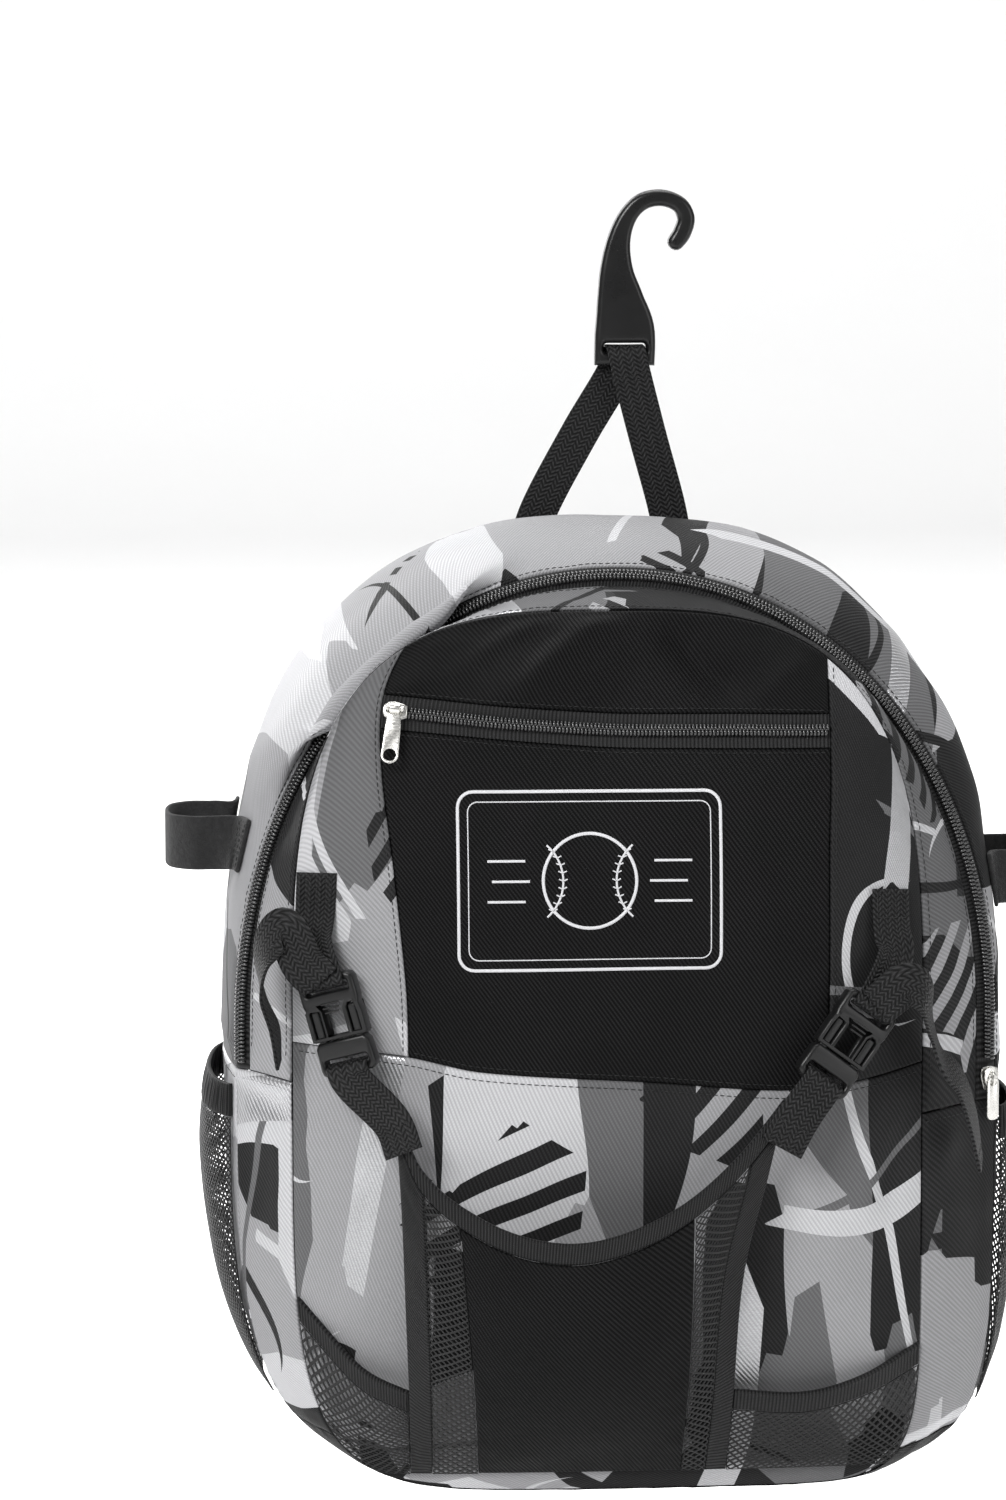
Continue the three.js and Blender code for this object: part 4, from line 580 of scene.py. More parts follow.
def ribbed_look():
    """Ribbed tape: firm ribs straight across it, with painted highlights on the ribs and painted shade
    between them.
    """
    look = Look("ribbed_tape", **TAPE_SHINE)
    ribs = look.wave(look.s, 0.0018)
    threads = look.wave(look.t, 0.0009)
    height = look.math("MULTIPLY", ribs, look.math("MULTIPLY_ADD", threads, 0.35, 0.65))
    # Painted highlight and shade: the colour follows the rib height, lighter on the ribs and darker in the
    # grooves
    look.colour(look.mix(height, grey(0.002), grey(0.028)))
    look.bump(height, 0.0005, 0.8)
    return look.mat


def napped_look():
    """Hook and loop tape: short tangled pile, with painted highlights on its clumps and painted shade in its
    hollows.
    """
    look = Look("napped_tape", Roughness=0.85, Specular_IOR_Level=0.15, Sheen_Weight=0.12,
                Sheen_Roughness=0.6)
    clumps = look.noise(look.place, 420.0, 5.0, 0.7)
    fine = look.noise(look.place, 1700.0, 3.0, 0.7)
    height = look.math("ADD", clumps, look.math("MULTIPLY", fine, 0.5))
    # Painted highlight and shade: the colour follows the clump height, lighter on the clumps and darker in
    # the hollows
    look.colour(look.mix(look.math("MULTIPLY", clumps, 0.9), grey(0.003), grey(0.036)))
    look.bump(height, 0.0012, 0.9)
    return look.mat


def thread_look(name, shade):
    look = Look(name, Roughness=0.5, Specular_IOR_Level=0.3)
    twist = look.noise(look.place, 900.0, 2.0)
    look.colour(look.mix(look.math("MULTIPLY", twist, 0.5), grey(shade), grey(shade * 0.45)))
    look.bump(twist, 0.0002, 0.5)
    return look.mat


def plastic_look(name, shade, rough, shine=0.35):
    """Moulded satin plastic with faint grain and rubbed patches."""
    look = Look(name, Roughness=rough, Specular_IOR_Level=shine)
    grain = look.noise(look.place, 2400.0, 2.0)
    rubbed = look.noise(look.place, 60.0, 4.0, 0.65)
    look.colour(look.mix(look.math("MULTIPLY", rubbed, 0.5), grey(shade), grey(shade * 1.9)))
    look.rough(look.math("MULTIPLY_ADD", rubbed, 0.22, rough - 0.08))
    look.bump(look.math("ADD", grain, look.math("MULTIPLY", rubbed, 0.8)), 0.00006, 0.5)
    return look.mat


def nickel_look():
    """Plated zinc with fine scratches."""
    look = Look("nickel", Metallic=1.0, Roughness=0.25)
    cloudy = look.noise(look.place, 240.0, 4.0)
    scratch = look.noise(look.mapped(look.place, 0.6, (500, 3000, 900)), 1.0, 2.0)
    look.colour(look.mix(cloudy, (0.62, 0.61, 0.58, 1), (0.83, 0.82, 0.79, 1)))
    look.rough(look.math("MULTIPLY_ADD", scratch, 0.3, 0.12))
    look.bump(scratch, 0.00003, 0.5)
    return look.mat


def ink_look():
    look = Look("printed_ink", Roughness=0.45)
    worn = look.noise(look.place, 700.0, 4.0)
    look.colour(look.mix(look.math("MULTIPLY", worn, 0.35), grey(0.62), grey(0.3)))
    look.bump(weave_height(look, 0.0009), 0.0001, 0.4)
    return look.mat


PRINT = printed_look()
TWILL = twill_look("black_twill")
PAD_CLOTH = twill_look("padded_cloth", 0.003, 0.034, 0.0018)
NET_THREAD = thread_look("net_thread", 0.012)
WEB = webbing_look()
RIBBED = ribbed_look()
NAPPED = napped_look()
PLASTIC = plastic_look("buckle_plastic", 0.006, 0.3)
HOOK_PLASTIC = plastic_look("hook_plastic", 0.005, 0.26)
COIL = plastic_look("coil_nylon", 0.012, 0.16, 0.9)
NICKEL = nickel_look()
PALE_THREAD = thread_look("pale_thread", 0.5)
DARK_THREAD = thread_look("dark_thread", 0.012)
INK = ink_look()


# Meshes
def piece(name, mesh, material, nodes=(), body="bag"):
    """Object of a mesh: it rides a body and stands for nodes of the solids."""
    ob = bpy.data.objects.new(name, mesh)
    bpy.context.scene.collection.objects.link(ob)
    mesh.materials.append(material)
    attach(ob, body)
    if nodes:
        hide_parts(*nodes)
    return ob


def make(name, verts, quads, material, cloth=None, nodes=()):
    """Piece from places in millimetres, with its cloth coordinates and tone."""
    me = bpy.data.meshes.new(name)
    verts = np.asarray(verts, float)
    me.from_pydata((verts * MM).tolist(), [], [tuple(q) for q in quads])
    if cloth is not None:
        layer = me.attributes.new("cloth", "FLOAT_VECTOR", "POINT")
        values = np.array(cloth, np.float32)
        values[:, :2] *= MM
        layer.data.foreach_set("vector", values.ravel())
    me.polygons.foreach_set("use_smooth", [True] * len(me.polygons))
    me.validate()
    me.update()
    return piece(name, me, material, nodes)


def stations(length, step):
    """Shares along an edge, close together near both ends."""
    near = np.array([0, 0.3, 0.7, 1.2, 1.9, 2.8])
    inset = near[-1] + 1.2
    if length < 2.6 * inset:
        return np.linspace(0, 1, 9)
    count = max(2, int(round((length - 2 * inset) / step)))
    middle = np.linspace(inset, length - inset, count + 1)
    return np.concatenate([near, middle, length - near[::-1]]) / length


def length_of(points):
    return float(np.linalg.norm(np.diff(points, axis=0), axis=1).sum())


def distances(points):
    """Distance of each point from the first, along the line through them."""
    return np.concatenate([[0], np.cumsum(np.linalg.norm(np.diff(points, axis=0), axis=1))])


def sampled(places, far, values):
    """Rows of values at some distances along a line."""
    return np.stack([np.interp(places, far, values[:, k]) for k in range(3)], -1)


class Panel:
    """A sewn panel: places on the skin, folds of its own, and edges that turn in at the seams."""

    def __init__(self, at, gap=0.12, wrinkle=0.8, pucker=0.35, seed=1, roll=1.3, thickness=CLOTH, lift=0.0):
        self.at, self.wrinkle, self.pucker, self.seed = at, wrinkle, pucker, seed
        self.roll, self.thickness, self.lift = roll, thickness, lift
        line = np.linspace(0, 1, 41)
        self.length_u = length_of(at(line, np.full(41, 0.5))[0])
        self.length_v = length_of(at(np.full(41, 0.5), line)[0])
        self.gap_u, self.gap_v = gap / self.length_u, gap / self.length_v

    def raw(self, u, v):
        return self.at(lerp(self.gap_u, 1 - self.gap_u, u), lerp(self.gap_v, 1 - self.gap_v, v))

    def swells(self, p):
        """Height of the broad and the sharp wrinkles, away from the seams."""
        broad = noise(p, (60, 60, 75), self.seed) + 0.5 * noise(p, (26, 40, 30), self.seed + 7)
        sharp = 1 - 2 * np.abs(noise(p, (48, 60, 36), self.seed + 13))
        return self.wrinkle * (0.7 * broad + 0.35 * sharp)

    def relief(self, u, v, p):
        du = np.minimum(u, 1 - u) * self.length_u
        dv = np.minimum(v, 1 - v) * self.length_v
        near = np.minimum(du, dv)
        height = self.swells(p) * smoothstep(near, 0, 14)
        along = np.where(du < dv, v * self.length_v, u * self.length_u)
        line = np.stack([along, near, np.zeros_like(along)], -1)
        pucker = noise(line, (5.5, 14, 1), self.seed + 3) + 0.6 * noise(line, (11, 22, 1), self.seed + 5)
        height = height + self.pucker * pucker * smoothstep(near, 0, 2.5) * (1 - smoothstep(near, 4, 18))
        return height + creases_at(p) * smoothstep(near, 0, 9)

    def front(self, u, v, off=0.0):
        p, n = self.raw(u, v)
        return p + n * (self.relief(u, v, p) + self.lift + off)[..., None], n

    def build(self, name, material, nodes, slot, step=4.0, tone=0.0, origin=(0, 0), turn=False):
        us, vs = stations(self.length_u, step), stations(self.length_v, step)
        u, v = np.meshgrid(us, vs)
        front, n = self.front(u, v)
        du = np.minimum(u, 1 - u) * self.length_u
        dv = np.minimum(v, 1 - v) * self.length_v
        r = self.roll
        x = np.clip(np.minimum(du, dv) / r, 0, 1)
        turned = r * (1 - np.sqrt(np.maximum(0, 1 - (1 - x) ** 2)))
        outer = front - n * turned[..., None]
        inner = front - n * self.thickness
        cloth_u, cloth_v = u * self.length_u + origin[0], v * self.length_v + origin[1]
        if turn:
            cloth_u, cloth_v = cloth_v, -cloth_u
        shade = tone - TONE_ACROSS * (front[..., 0] - BAG_OFFSET) / HALF_WIDTH
        cloth = np.stack([cloth_u, cloth_v, shade], -1).reshape(-1, 3)
        verts = np.concatenate([outer.reshape(-1, 3), inner.reshape(-1, 3)])
        rows, cols = u.shape
        quads = wall_quads(cols, rows)
        side = np.cross(front[1, 1] - front[1, 0] + front[-2, -1] - front[-2, -2],
                        front[1, 0] - front[0, 0] + front[-1, -1] - front[-2, -1])
        if side @ (n[1, 1] + n[-2, -2]) < 0:
            quads = quads[:, ::-1]
        return make(name, verts, quads, material, np.concatenate([cloth, cloth]), nodes)


def wall_quads(cols, rows):
    layer = cols * rows
    i, j = np.meshgrid(np.arange(cols - 1), np.arange(rows - 1))
    a = (j * cols + i).ravel()
    front = np.stack([a, a + 1, a + 1 + cols, a + cols], -1)
    back = front[:, ::-1] + layer
    i = np.arange(cols - 1)
    low = np.stack([i + layer, i + 1 + layer, i + 1, i], -1)
    k = i + (rows - 1) * cols
    high = np.stack([k, k + 1, k + 1 + layer, k + layer], -1)
    j = np.arange(rows - 1) * cols
    left = np.stack([j, j + cols, j + cols + layer, j + layer], -1)
    m = j + cols - 1
    right = np.stack([m + layer, m + cols + layer, m + cols, m], -1)
    return np.concatenate([front, back, low, high, left, right])


def ring_patch(from_angle, to_angle, from_ring, to_ring):
    a, b = math.radians(from_angle), math.radians(to_angle)

    def at(u, v):
        angle = angle_between(a, b, np.asarray(u, float))
        t = lerp(from_ring, to_ring, np.asarray(v, float))
        return skin_point(angle, t), skin_normal(angle, t)
    return at


# Edge curves of patches, each a function from 0 to 1
def along_up(line, a, b):
    def curve(s):
        z = lerp(a, b, s)
        return np.stack([line(z), z], -1)
    return curve


def along_across(line, a, b):
    def curve(s):
        x = lerp(a, b, s)
        return np.stack([x, line(x)], -1)
    return curve


def along_ring(a, b):
    def curve(s):
        p = ring_point(angle_between(a, b, s), float(FACE_RING))
        middle = np.array([across_bag(ring_column("shift", FACE_RING)), up_bag(RING_CENTRE)])
        out = p[..., [0, 2]] - middle
        return middle + out * (1 - EDGE_INSET / np.linalg.norm(out, axis=-1, keepdims=True))
    return curve


def straight(a, b):
    return lambda s: a + (b - a) * np.asarray(s)[..., None]


def coons(edges, u, v):
    u, v = np.asarray(u, float), np.asarray(v, float)
    uu, vv = u[..., None], v[..., None]
    zero, one = np.zeros(()), np.ones(())
    sides = edges["bottom"](u) * (1 - vv) + edges["top"](u) * vv
    sides = sides + edges["left"](v) * (1 - uu) + edges["right"](v) * uu
    corners = edges["bottom"](zero) * (1 - uu) * (1 - vv) + edges["bottom"](one) * uu * (1 - vv)
    corners = corners + edges["top"](zero) * (1 - uu) * vv + edges["top"](one) * uu * vv
    return sides - corners


def patch(edges, point=face_point, normal=face_normal):
    def at(u, v):
        place = coons(edges, u, v)
        return point(place[..., 0], place[..., 1]), normal(place[..., 0], place[..., 1])
    return at


def meeting(up_line, level_line):
    z = level_line(BAG_OFFSET)
    for _ in range(12):
        z = level_line(up_line(z))
    return np.array([float(up_line(z)), float(z)])


def crossing(low, high, measure):
    start = np.sign(measure(ring_point(low, float(FACE_RING))))
    for _ in range(30):
        mid = (low + high) / 2
        if np.sign(measure(ring_point(mid, float(FACE_RING)))) == start:
            low = mid
        else:
            high = mid
    return (low + high) / 2


def level_edge(line, side):
    return crossing(side * math.radians(45), side * math.radians(178), lambda p: p[2] - line(p[0]))


def upright_edge(line):
    return crossing(math.radians(-70), math.radians(70), lambda p: p[0] - line(p[2]))


def ring_place(angle):
    return along_ring(angle, angle)(np.zeros(()))


seam_left, seam_right, seam_low = upright(SEAM_LEFT), upright(SEAM_RIGHT), level(SEAM_LOW)
zip_line = level(POCKET_ZIP)

# Printed walls and panels; the print grows darker towards the right
TONE_ACROSS = 0.22
panels = {}


def sewn(name, at, material, slot, tone=0.0, origin=(0, 0), step=4.0, **facts):
    panel = Panel(at, **facts)
    panels[name] = panel
    ob = panel.build(name + "_cloth", material, [name], slot, step, tone, origin)


def printed(name, at, tone, origin, wrinkle, seed):
    sewn(name, at, PRINT, "printed_polyester", tone, origin, wrinkle=wrinkle, seed=seed)


# Name, start and end in degrees, inner and outer ring, tone, place on the cloth, wrinkle, seed
WALLS = [
    ("gusset_arch", ZIP_LEFT, ZIP_RIGHT, 0, ZIP_OUTER, 0.0, (0, 0), 1.7, 11),
    ("gusset_left", -CORNER, ZIP_LEFT, 0, ZIP_OUTER, -0.05, (400, 300), 2.4, 21),
    ("gusset_right", ZIP_RIGHT, CORNER, 0, ZIP_OUTER, 0.02, (900, 120), 2.4, 31),
    ("lower_front_left", -CORNER, ZIP_LEFT, ZIP_OUTER, FACE_RING, 0.0, (120, 700), 2.6, 41),
    ("lower_front_right", ZIP_RIGHT, CORNER, ZIP_OUTER, FACE_RING, 0.1, (620, 520), 2.6, 51),
    ("front_facing", ZIP_LEFT, ZIP_RIGHT, ZIP_INNER, FACE_RING, -0.06, (50, 900), 1.2, 61),
]
for wall, start_angle, end_angle, inner_ring, outer_ring, *wall_facts in WALLS:
    printed(wall, ring_patch(start_angle, end_angle, inner_ring, outer_ring), *wall_facts)
sewn("bottom_panel", ring_patch(CORNER, 360 - CORNER, 0, FACE_RING), TWILL, "black_twill", wrinkle=1.4,
     seed=71)


def face_panels():
    zip_top, zip_bottom = moved(zip_line, POCKET_TAPE / 2), moved(zip_line, -POCKET_TAPE / 2)
    top_left, top_right = upright_edge(seam_left), upright_edge(seam_right)
    low_left, low_right = level_edge(seam_low, -1), level_edge(seam_low, 1)
    shoulder, corner = math.radians(58), math.radians(CORNER)
    place_tl, place_tr = ring_place(top_left), ring_place(top_right)
    meet_left, meet_right = meeting(seam_left, seam_low), meeting(seam_right, seam_low)
    edge_left, edge_right = ring_place(low_left), ring_place(low_right)
    top = (meeting(seam_left, zip_top), meeting(seam_right, zip_top))
    low = (meeting(seam_left, zip_bottom), meeting(seam_right, zip_bottom))
    printed("face_left", patch({
        "left": along_ring(low_left, -shoulder), "top": along_ring(-shoulder, top_left),
        "right": along_up(seam_left, meet_left[1], place_tl[1]),
        "bottom": along_across(seam_low, edge_left[0], meet_left[0]),
    }), 0.08, (300, 60), 1.5, 81)
    printed("face_right", patch({
        "left": along_up(seam_right, meet_right[1], place_tr[1]),
        "top": along_ring(top_right, shoulder),
        "right": along_ring(low_right, shoulder),
        "bottom": along_across(seam_low, meet_right[0], edge_right[0]),
    }), -0.3, (700, 260), 1.5, 91)
    sewn("face_center_top", patch({
        "left": along_up(seam_left, top[0][1], place_tl[1]), "top": along_ring(top_left, top_right),
        "right": along_up(seam_right, top[1][1], place_tr[1]),
        "bottom": along_across(zip_top, top[0][0], top[1][0]),
    }), TWILL, "black_twill", wrinkle=2.4, seed=101, step=3.0)
    sewn("face_center", patch({
        "left": along_up(seam_left, meet_left[1], low[0][1]),
        "top": along_across(zip_bottom, low[0][0], low[1][0]),
        "right": along_up(seam_right, meet_right[1], low[1][1]),
        "bottom": along_across(seam_low, meet_left[0], meet_right[0]),
    }), TWILL, "black_twill", wrinkle=1.1, seed=111, step=3.0)
    printed("face_lower", patch({
        "left": along_ring(-corner, low_left), "top": along_across(seam_low, edge_left[0], edge_right[0]),
        "right": along_ring(corner, low_right), "bottom": along_ring(TAU - corner, corner),
    }), 0.0, (220, 430), 2.4, 121)
    panels["zip_tape"] = Panel(patch({
        "left": along_up(seam_left, low[0][1], top[0][1]),
        "top": along_across(zip_top, top[0][0], top[1][0]),
        "right": along_up(seam_right, low[1][1], top[1][1]),
        "bottom": along_across(zip_bottom, low[0][0], low[1][0]),
    }), wrinkle=0.3, pucker=0.1, seed=131, roll=0.4, lift=-0.5, thickness=1.0)
    panels["zip_tape"].build("pocket_zip_tape_cloth", RIBBED, ["pocket_zip_tape"], "zip", 3.0)


face_panels()


def tube_faces(start, count, rings, sides, flip=False):
    """Faces of closed tubes, each of some rings of points."""
    base = start + np.arange(count)[:, None, None] * rings * sides
    j = np.arange(rings - 1)[None, :, None] * sides
    k = np.arange(sides)[None, None, :]
    k2 = (k + 1) % sides
    corners = (base + j + k, base + j + k2, base + j + sides + k2, base + j + sides + k)
    quads = np.stack(np.broadcast_arrays(*corners), -1).reshape(-1, 4)
    faces = (quads[:, ::-1] if flip else quads).tolist()
    for c in range(count):
        first = start + c * rings * sides
        for at, back in ((first, not flip), (first + (rings - 1) * sides, flip)):
            cap = [at + m for m in range(sides)]
            faces.append(cap[::-1] if back else cap)
    return faces


class Stitches:
    """Stitches, each a small capsule that sinks a little into the cloth."""

    def __init__(self):
        self.points = {}

    def run(self, material, points, normals, pitch=3.1, length=2.3, radius=0.24):
        far = distances(points)
        count = int(far[-1] // pitch)
        if count < 1:
            return
        centre = (np.arange(count) + 0.5) * (far[-1] / count)
        a, b = sampled(centre - length / 2, far, points), sampled(centre + length / 2, far, points)
        n = unit(sampled(centre, far, normals))
        self.points.setdefault(material.name, (material, []))[1].append((a, b, n, radius))

    def panel_line(self, material, panel, along, value, count):
        s = np.linspace(0.01, 0.99, count)
        fixed = np.full(count, value)
        u, v = (s, fixed) if along == "u" else (fixed, s)
        p, n = panel.front(u, v, 0.12)
        self.run(material, p, n)

    def build(self):
        sides = 6
        rings = np.array([(0.0, 0.0), (0.12, 0.75), (0.5, 1.0), (0.88, 0.75), (1.0, 0.0)])
        for name, (material, runs) in self.points.items():
            verts, quads, start = [], [], 0
            for a, b, n, radius in runs:
                along = unit(b - a)
                across = unit(np.cross(along, n))
                up = np.cross(across, along)
                turn = np.arange(sides)[None, :, None] / sides * TAU
                circle = np.cos(turn) * across[:, None] + np.sin(turn) * up[:, None]
                block = []
                for place, wide in rings:
                    middle = a + (b - a) * place + up * (wide - 1) * radius * 0.6
                    block.append(middle[:, None] + radius * max(wide, 0.05) * circle)
                verts.append(np.stack(block, 1).reshape(-1, 3))
                quads += tube_faces(start, len(a), len(rings), sides)
                start += len(verts[-1])
            make("stitches_" + name, np.concatenate(verts), quads, material)


stitches = Stitches()


def seam_stitches(name, side, off, material=DARK_THREAD):
    """A row of stitches at a distance from one edge of a panel."""
    panel = panels[name]
    upright = side in ("left", "right")
    along, length, count = ("v", panel.length_u, 120) if upright else ("u", panel.length_v, 400)
    value = off / length
    stitches.panel_line(material, panel, along, value if side in ("left", "bottom") else 1 - value, count)


for seam_name, seam_side, seam_off in (
        ("face_right", "left", 2.6), ("face_left", "right", 2.4), ("face_center", "bottom", 2.4),
        ("face_center", "top", 2.0), ("face_center_top", "bottom", 2.0), ("face_lower", "top", 2.6),
        ("gusset_arch", "top", 2.8), ("front_facing", "bottom", 2.6), ("front_facing", "top", 2.6),
        ("gusset_left", "right", 2.6), ("gusset_right", "left", 2.6)):
    seam_stitches(seam_name, seam_side, seam_off)
seam_stitches("lower_front_left", "right", 2.6, PALE_THREAD)
seam_stitches("lower_front_right", "left", 2.6)


# Bands that run through a list of stops
def spline(points, values):
    """Centripetal curve through points, at shares from 0 to 1 of its stops."""
    p = np.asarray(points, float)
    last = len(p) - 1
    place = np.clip(np.asarray(values, float), 0, 1) * last
    i = np.minimum(np.floor(place).astype(int), last - 1)
    w = (place - i)[:, None]
    ext = np.concatenate([[2 * p[0] - p[1]], p, [2 * p[-1] - p[-2]]])
    p0, p1, p2, p3 = ext[i], ext[i + 1], ext[i + 2], ext[i + 3]

    def step(a, b):
        return np.sqrt(np.linalg.norm(b - a, axis=1))[:, None]
    d0, d1, d2 = step(p0, p1), step(p1, p2), step(p2, p3)
    d1 = np.where(d1 < 1e-4, 1.0, d1)
    d0 = np.where(d0 < 1e-4, d1, d0)
    d2 = np.where(d2 < 1e-4, d1, d2)
    t1 = ((p1 - p0) / d0 - (p2 - p0) / (d0 + d1) + (p2 - p1) / d1) * d1
    t2 = ((p2 - p1) / d1 - (p3 - p1) / (d1 + d2) + (p3 - p2) / d2) * d1
    return p1 + t1 * w + (-3 * p1 + 3 * p2 - 2 * t1 - t2) * w ** 2 + (2 * p1 - 2 * p2 + t1 + t2) * w ** 3


def band_frames(route, values):
    points = [r[0] for r in route]
    faces = [r[1] for r in route]
    p = spline(points, values)
    ahead, behind = (spline(points, np.clip(values + by, 0, 1)) for by in (1e-4, -1e-4))
    tangent = unit(ahead - behind)
    across = unit(np.cross(spline(faces, values), tangent))
    out = unit(np.cross(tangent, across))
    return p, tangent, across, out


def section(width, thickness):
    """Outline of a band: flat faces and rounded edges, as places across and out."""
    half, r = width / 2, thickness / 2
    xs = np.linspace(-half + r, half - r, 9)
    turns = np.radians([60, 30, 0, -30, -60])
    pts = [(x, r) for x in xs]
    pts += [(half - r + r * math.cos(a), r * math.sin(a)) for a in turns]
    pts += [(x, -r) for x in xs[::-1]]
    pts += [(-half + r - r * math.cos(a), r * math.sin(a)) for a in turns[::-1]]
    return np.array(pts)


def band(name, route, width, thickness, material, nodes, step, wave=0.0, shape=None):
    """Piece with one outline swept along a route, and its frames along the route."""
    fine = np.linspace(0, 1, 400)
    length = length_of(spline([r[0] for r in route], fine))
    count = max(8, int(length / step))
    values = np.linspace(0, 1, count + 1)
    p, tangent, across, out = band_frames(route, values)
    far = distances(p)
    outline = section(width, thickness) if shape is None else shape
    k = len(outline)
    bow = wave * noise(np.stack([far, 0 * far, 0 * far], -1), (14, 1, 1), 5)
    rings = p[:, None] + outline[None, :, :1] * across[:, None] + outline[None, :, 1:] * out[:, None]
    rings = rings + out[:, None] * bow[:, None, None]
    verts = rings.reshape(-1, 3)
    i = np.arange(count)[:, None] * k
    j = np.arange(k)[None, :]
    j2 = (j + 1) % k
    quads = np.stack(np.broadcast_arrays(i + j, i + j2, i + k + j2, i + k + j), -1).reshape(-1, 4)
    quads = quads[:, ::-1].tolist()
    quads.append(list(range(k)))
    quads.append([count * k + m for m in range(k)][::-1])
    cloth = np.stack(np.broadcast_arrays(far[:, None], outline[None, :, 0], 0.0), -1).reshape(-1, 3)
    ob = make(name, verts, quads, material, cloth, nodes)
    return ob, (p, tangent, across, out, far)


def box_stitch(frames, start, end, width, thickness):
    """Rows of stitches round a box on a band, between two distances along it, with a cross in a long box."""
    p, _, across, out, far = frames
    w = width / 2 - 2

    def row(distance, offset):
        o = unit(sampled(distance, far, out))
        q = sampled(distance, far, p) + sampled(distance, far, across) * offset[..., None]
        stitches.run(DARK_THREAD, q + o * (thickness / 2 + 0.1), o, pitch=2.6, length=2.0)
    values = np.linspace(start, end, 24)
    for offset in (-w, w):
        row(values, np.full(24, offset))
    for distance in (start, end):
        row(np.full(12, distance), np.linspace(-w, w, 12))
    if end - start > 8:
        slant = np.linspace(-w, w, 24)
        row(values, slant)
        row(values, -slant)


# Zips: two rows of curved teeth that meet in the middle
def teeth(name, route, pitch, nodes):
    p, tangent, across, out = band_frames(route, np.linspace(0, 1, 3000))
    far = distances(p)
    count = int(far[-1] / pitch)
    verts, quads = [], []
    shape = np.array([(2.55, -0.75), (2.35, 0.2), (1.5, 0.85), (0.4, 0.85), (-0.35, 0.35)])
    sides = 6
    radius = np.array([0.55, 0.66, 0.7, 0.66, 0.5])
    for row in (-1, 1):
        places = (np.arange(count) + (0.25 if row < 0 else 0.75)) * pitch
        q = sampled(places, far, p)
        t, a, o = (unit(sampled(places, far, values)) for values in (tangent, across, out))
        rings = []
        for m, (x, y) in enumerate(shape):
            middle = q + a * (row * x) + o * y
            d = shape[min(m + 1, len(shape) - 1)] - shape[max(m - 1, 0)]
            d = d / np.linalg.norm(d)
            side = a * (row * -d[1]) + o * d[0]
            angle = np.arange(sides)[None, :, None] / sides * TAU
            circle = np.cos(angle) * t[:, None] * 1.05 + np.sin(angle) * side[:, None]
            rings.append(middle[:, None] + radius[m] * circle)
        quads += tube_faces(sum(len(x) for x in verts), count, len(shape), sides, row > 0)
        verts.append(np.stack(rings, 1).reshape(-1, 3))
    make(name, np.concatenate(verts), quads, COIL, None, nodes)


def main_zip():
    tape = Panel(ring_patch(ZIP_LEFT, ZIP_RIGHT, ZIP_OUTER, ZIP_INNER), wrinkle=0.5, pucker=0.1, seed=141,
                 roll=0.4, lift=-0.4, thickness=1.0)
    panels["main_zip_tape"] = tape
    tape.build("main_zip_tape_cloth", RIBBED, ["main_zip_tape"], "zip", 2.5)
    middle = (ZIP_OUTER + ZIP_INNER) / 2

    def stops(from_degrees, to_degrees, count, off):
        angle = np.radians(np.linspace(from_degrees, to_degrees, count))
        n = skin_normal(angle, middle)
        return list(zip(skin_point(angle, middle) + n * off, n))
    slider_turn = math.degrees((SLIDER_LENGTH + 2 * REST_GAP) / HALF_WIDTH)
    coil_end = ZIP_RIGHT - slider_turn - 1
    teeth("main_zip_teeth", stops(ZIP_LEFT + 1, coil_end, 45, 1.15), 1.8, ["main_zip_coil"])
    ends = stops(coil_end + math.degrees(2 * REST_GAP / HALF_WIDTH), coil_end + slider_turn, 2, 2.25)
    p, n = (ends[0][0] + ends[1][0]) / 2, unit(ends[0][1] + ends[1][1])
    along = unit(ends[0][0] - ends[1][0])
    main_slider(p - n * 1.0, along, n)


def curve_bmesh(curve):
    """Bmesh of a curve, which is removed."""
    ob = bpy.data.objects.new("curve", curve)
    bpy.context.scene.collection.objects.link(ob)
    dg = bpy.context.evaluated_depsgraph_get()
    me = bpy.data.meshes.new_from_object(ob.evaluated_get(dg))
    bm = bmesh.new()
    bm.from_mesh(me)
    bpy.data.objects.remove(ob)
    bpy.data.curves.remove(curve)
    bpy.data.meshes.remove(me)
    return bm


def plate_mesh(outlines, thickness, bevel, resolution=3):
    """Bevelled plate from closed outlines in the plane, as a bmesh: a hole is an outline inside another."""
    curve = bpy.data.curves.new("outline", "CURVE")
    curve.dimensions = "2D"
    curve.fill_mode = "BOTH"
    for points in outlines:
        s = curve.splines.new("POLY")
        s.points.add(len(points) - 1)
        for point, (x, y) in zip(s.points, points):
            point.co = (x * MM, y * MM, 0, 1)
        s.use_cyclic_u = True
    curve.extrude = max(0, thickness / 2 - bevel) * MM
    curve.bevel_depth = bevel * MM
    curve.bevel_resolution = resolution
    curve.offset = -bevel * MM
    bm = curve_bmesh(curve)
    bmesh.ops.remove_doubles(bm, verts=bm.verts, dist=2e-6)
    return bm


def rounded(width, height, radius, cx=0.0, cy=0.0, steps=6):
    pts = []
    for corner, (sx, sy) in enumerate(((1, 1), (-1, 1), (-1, -1), (1, -1))):
        for i in range(steps + 1):
            a = math.radians(90 * corner + 90 * i / steps)
            pts.append((cx + sx * (width / 2 - radius) + radius * math.cos(a),
                        cy + sy * (height / 2 - radius) + radius * math.sin(a)))
    return pts


def basis(x, y, z, origin):
    """Matrix that takes local x, y and z, in metres, to directions in the row frame."""
    m = Matrix.Identity(4)
    for k, v in enumerate((x, y, z, np.asarray(origin) * MM)):
        for row in range(3):
            m[row][k] = float(v[row])
    return m


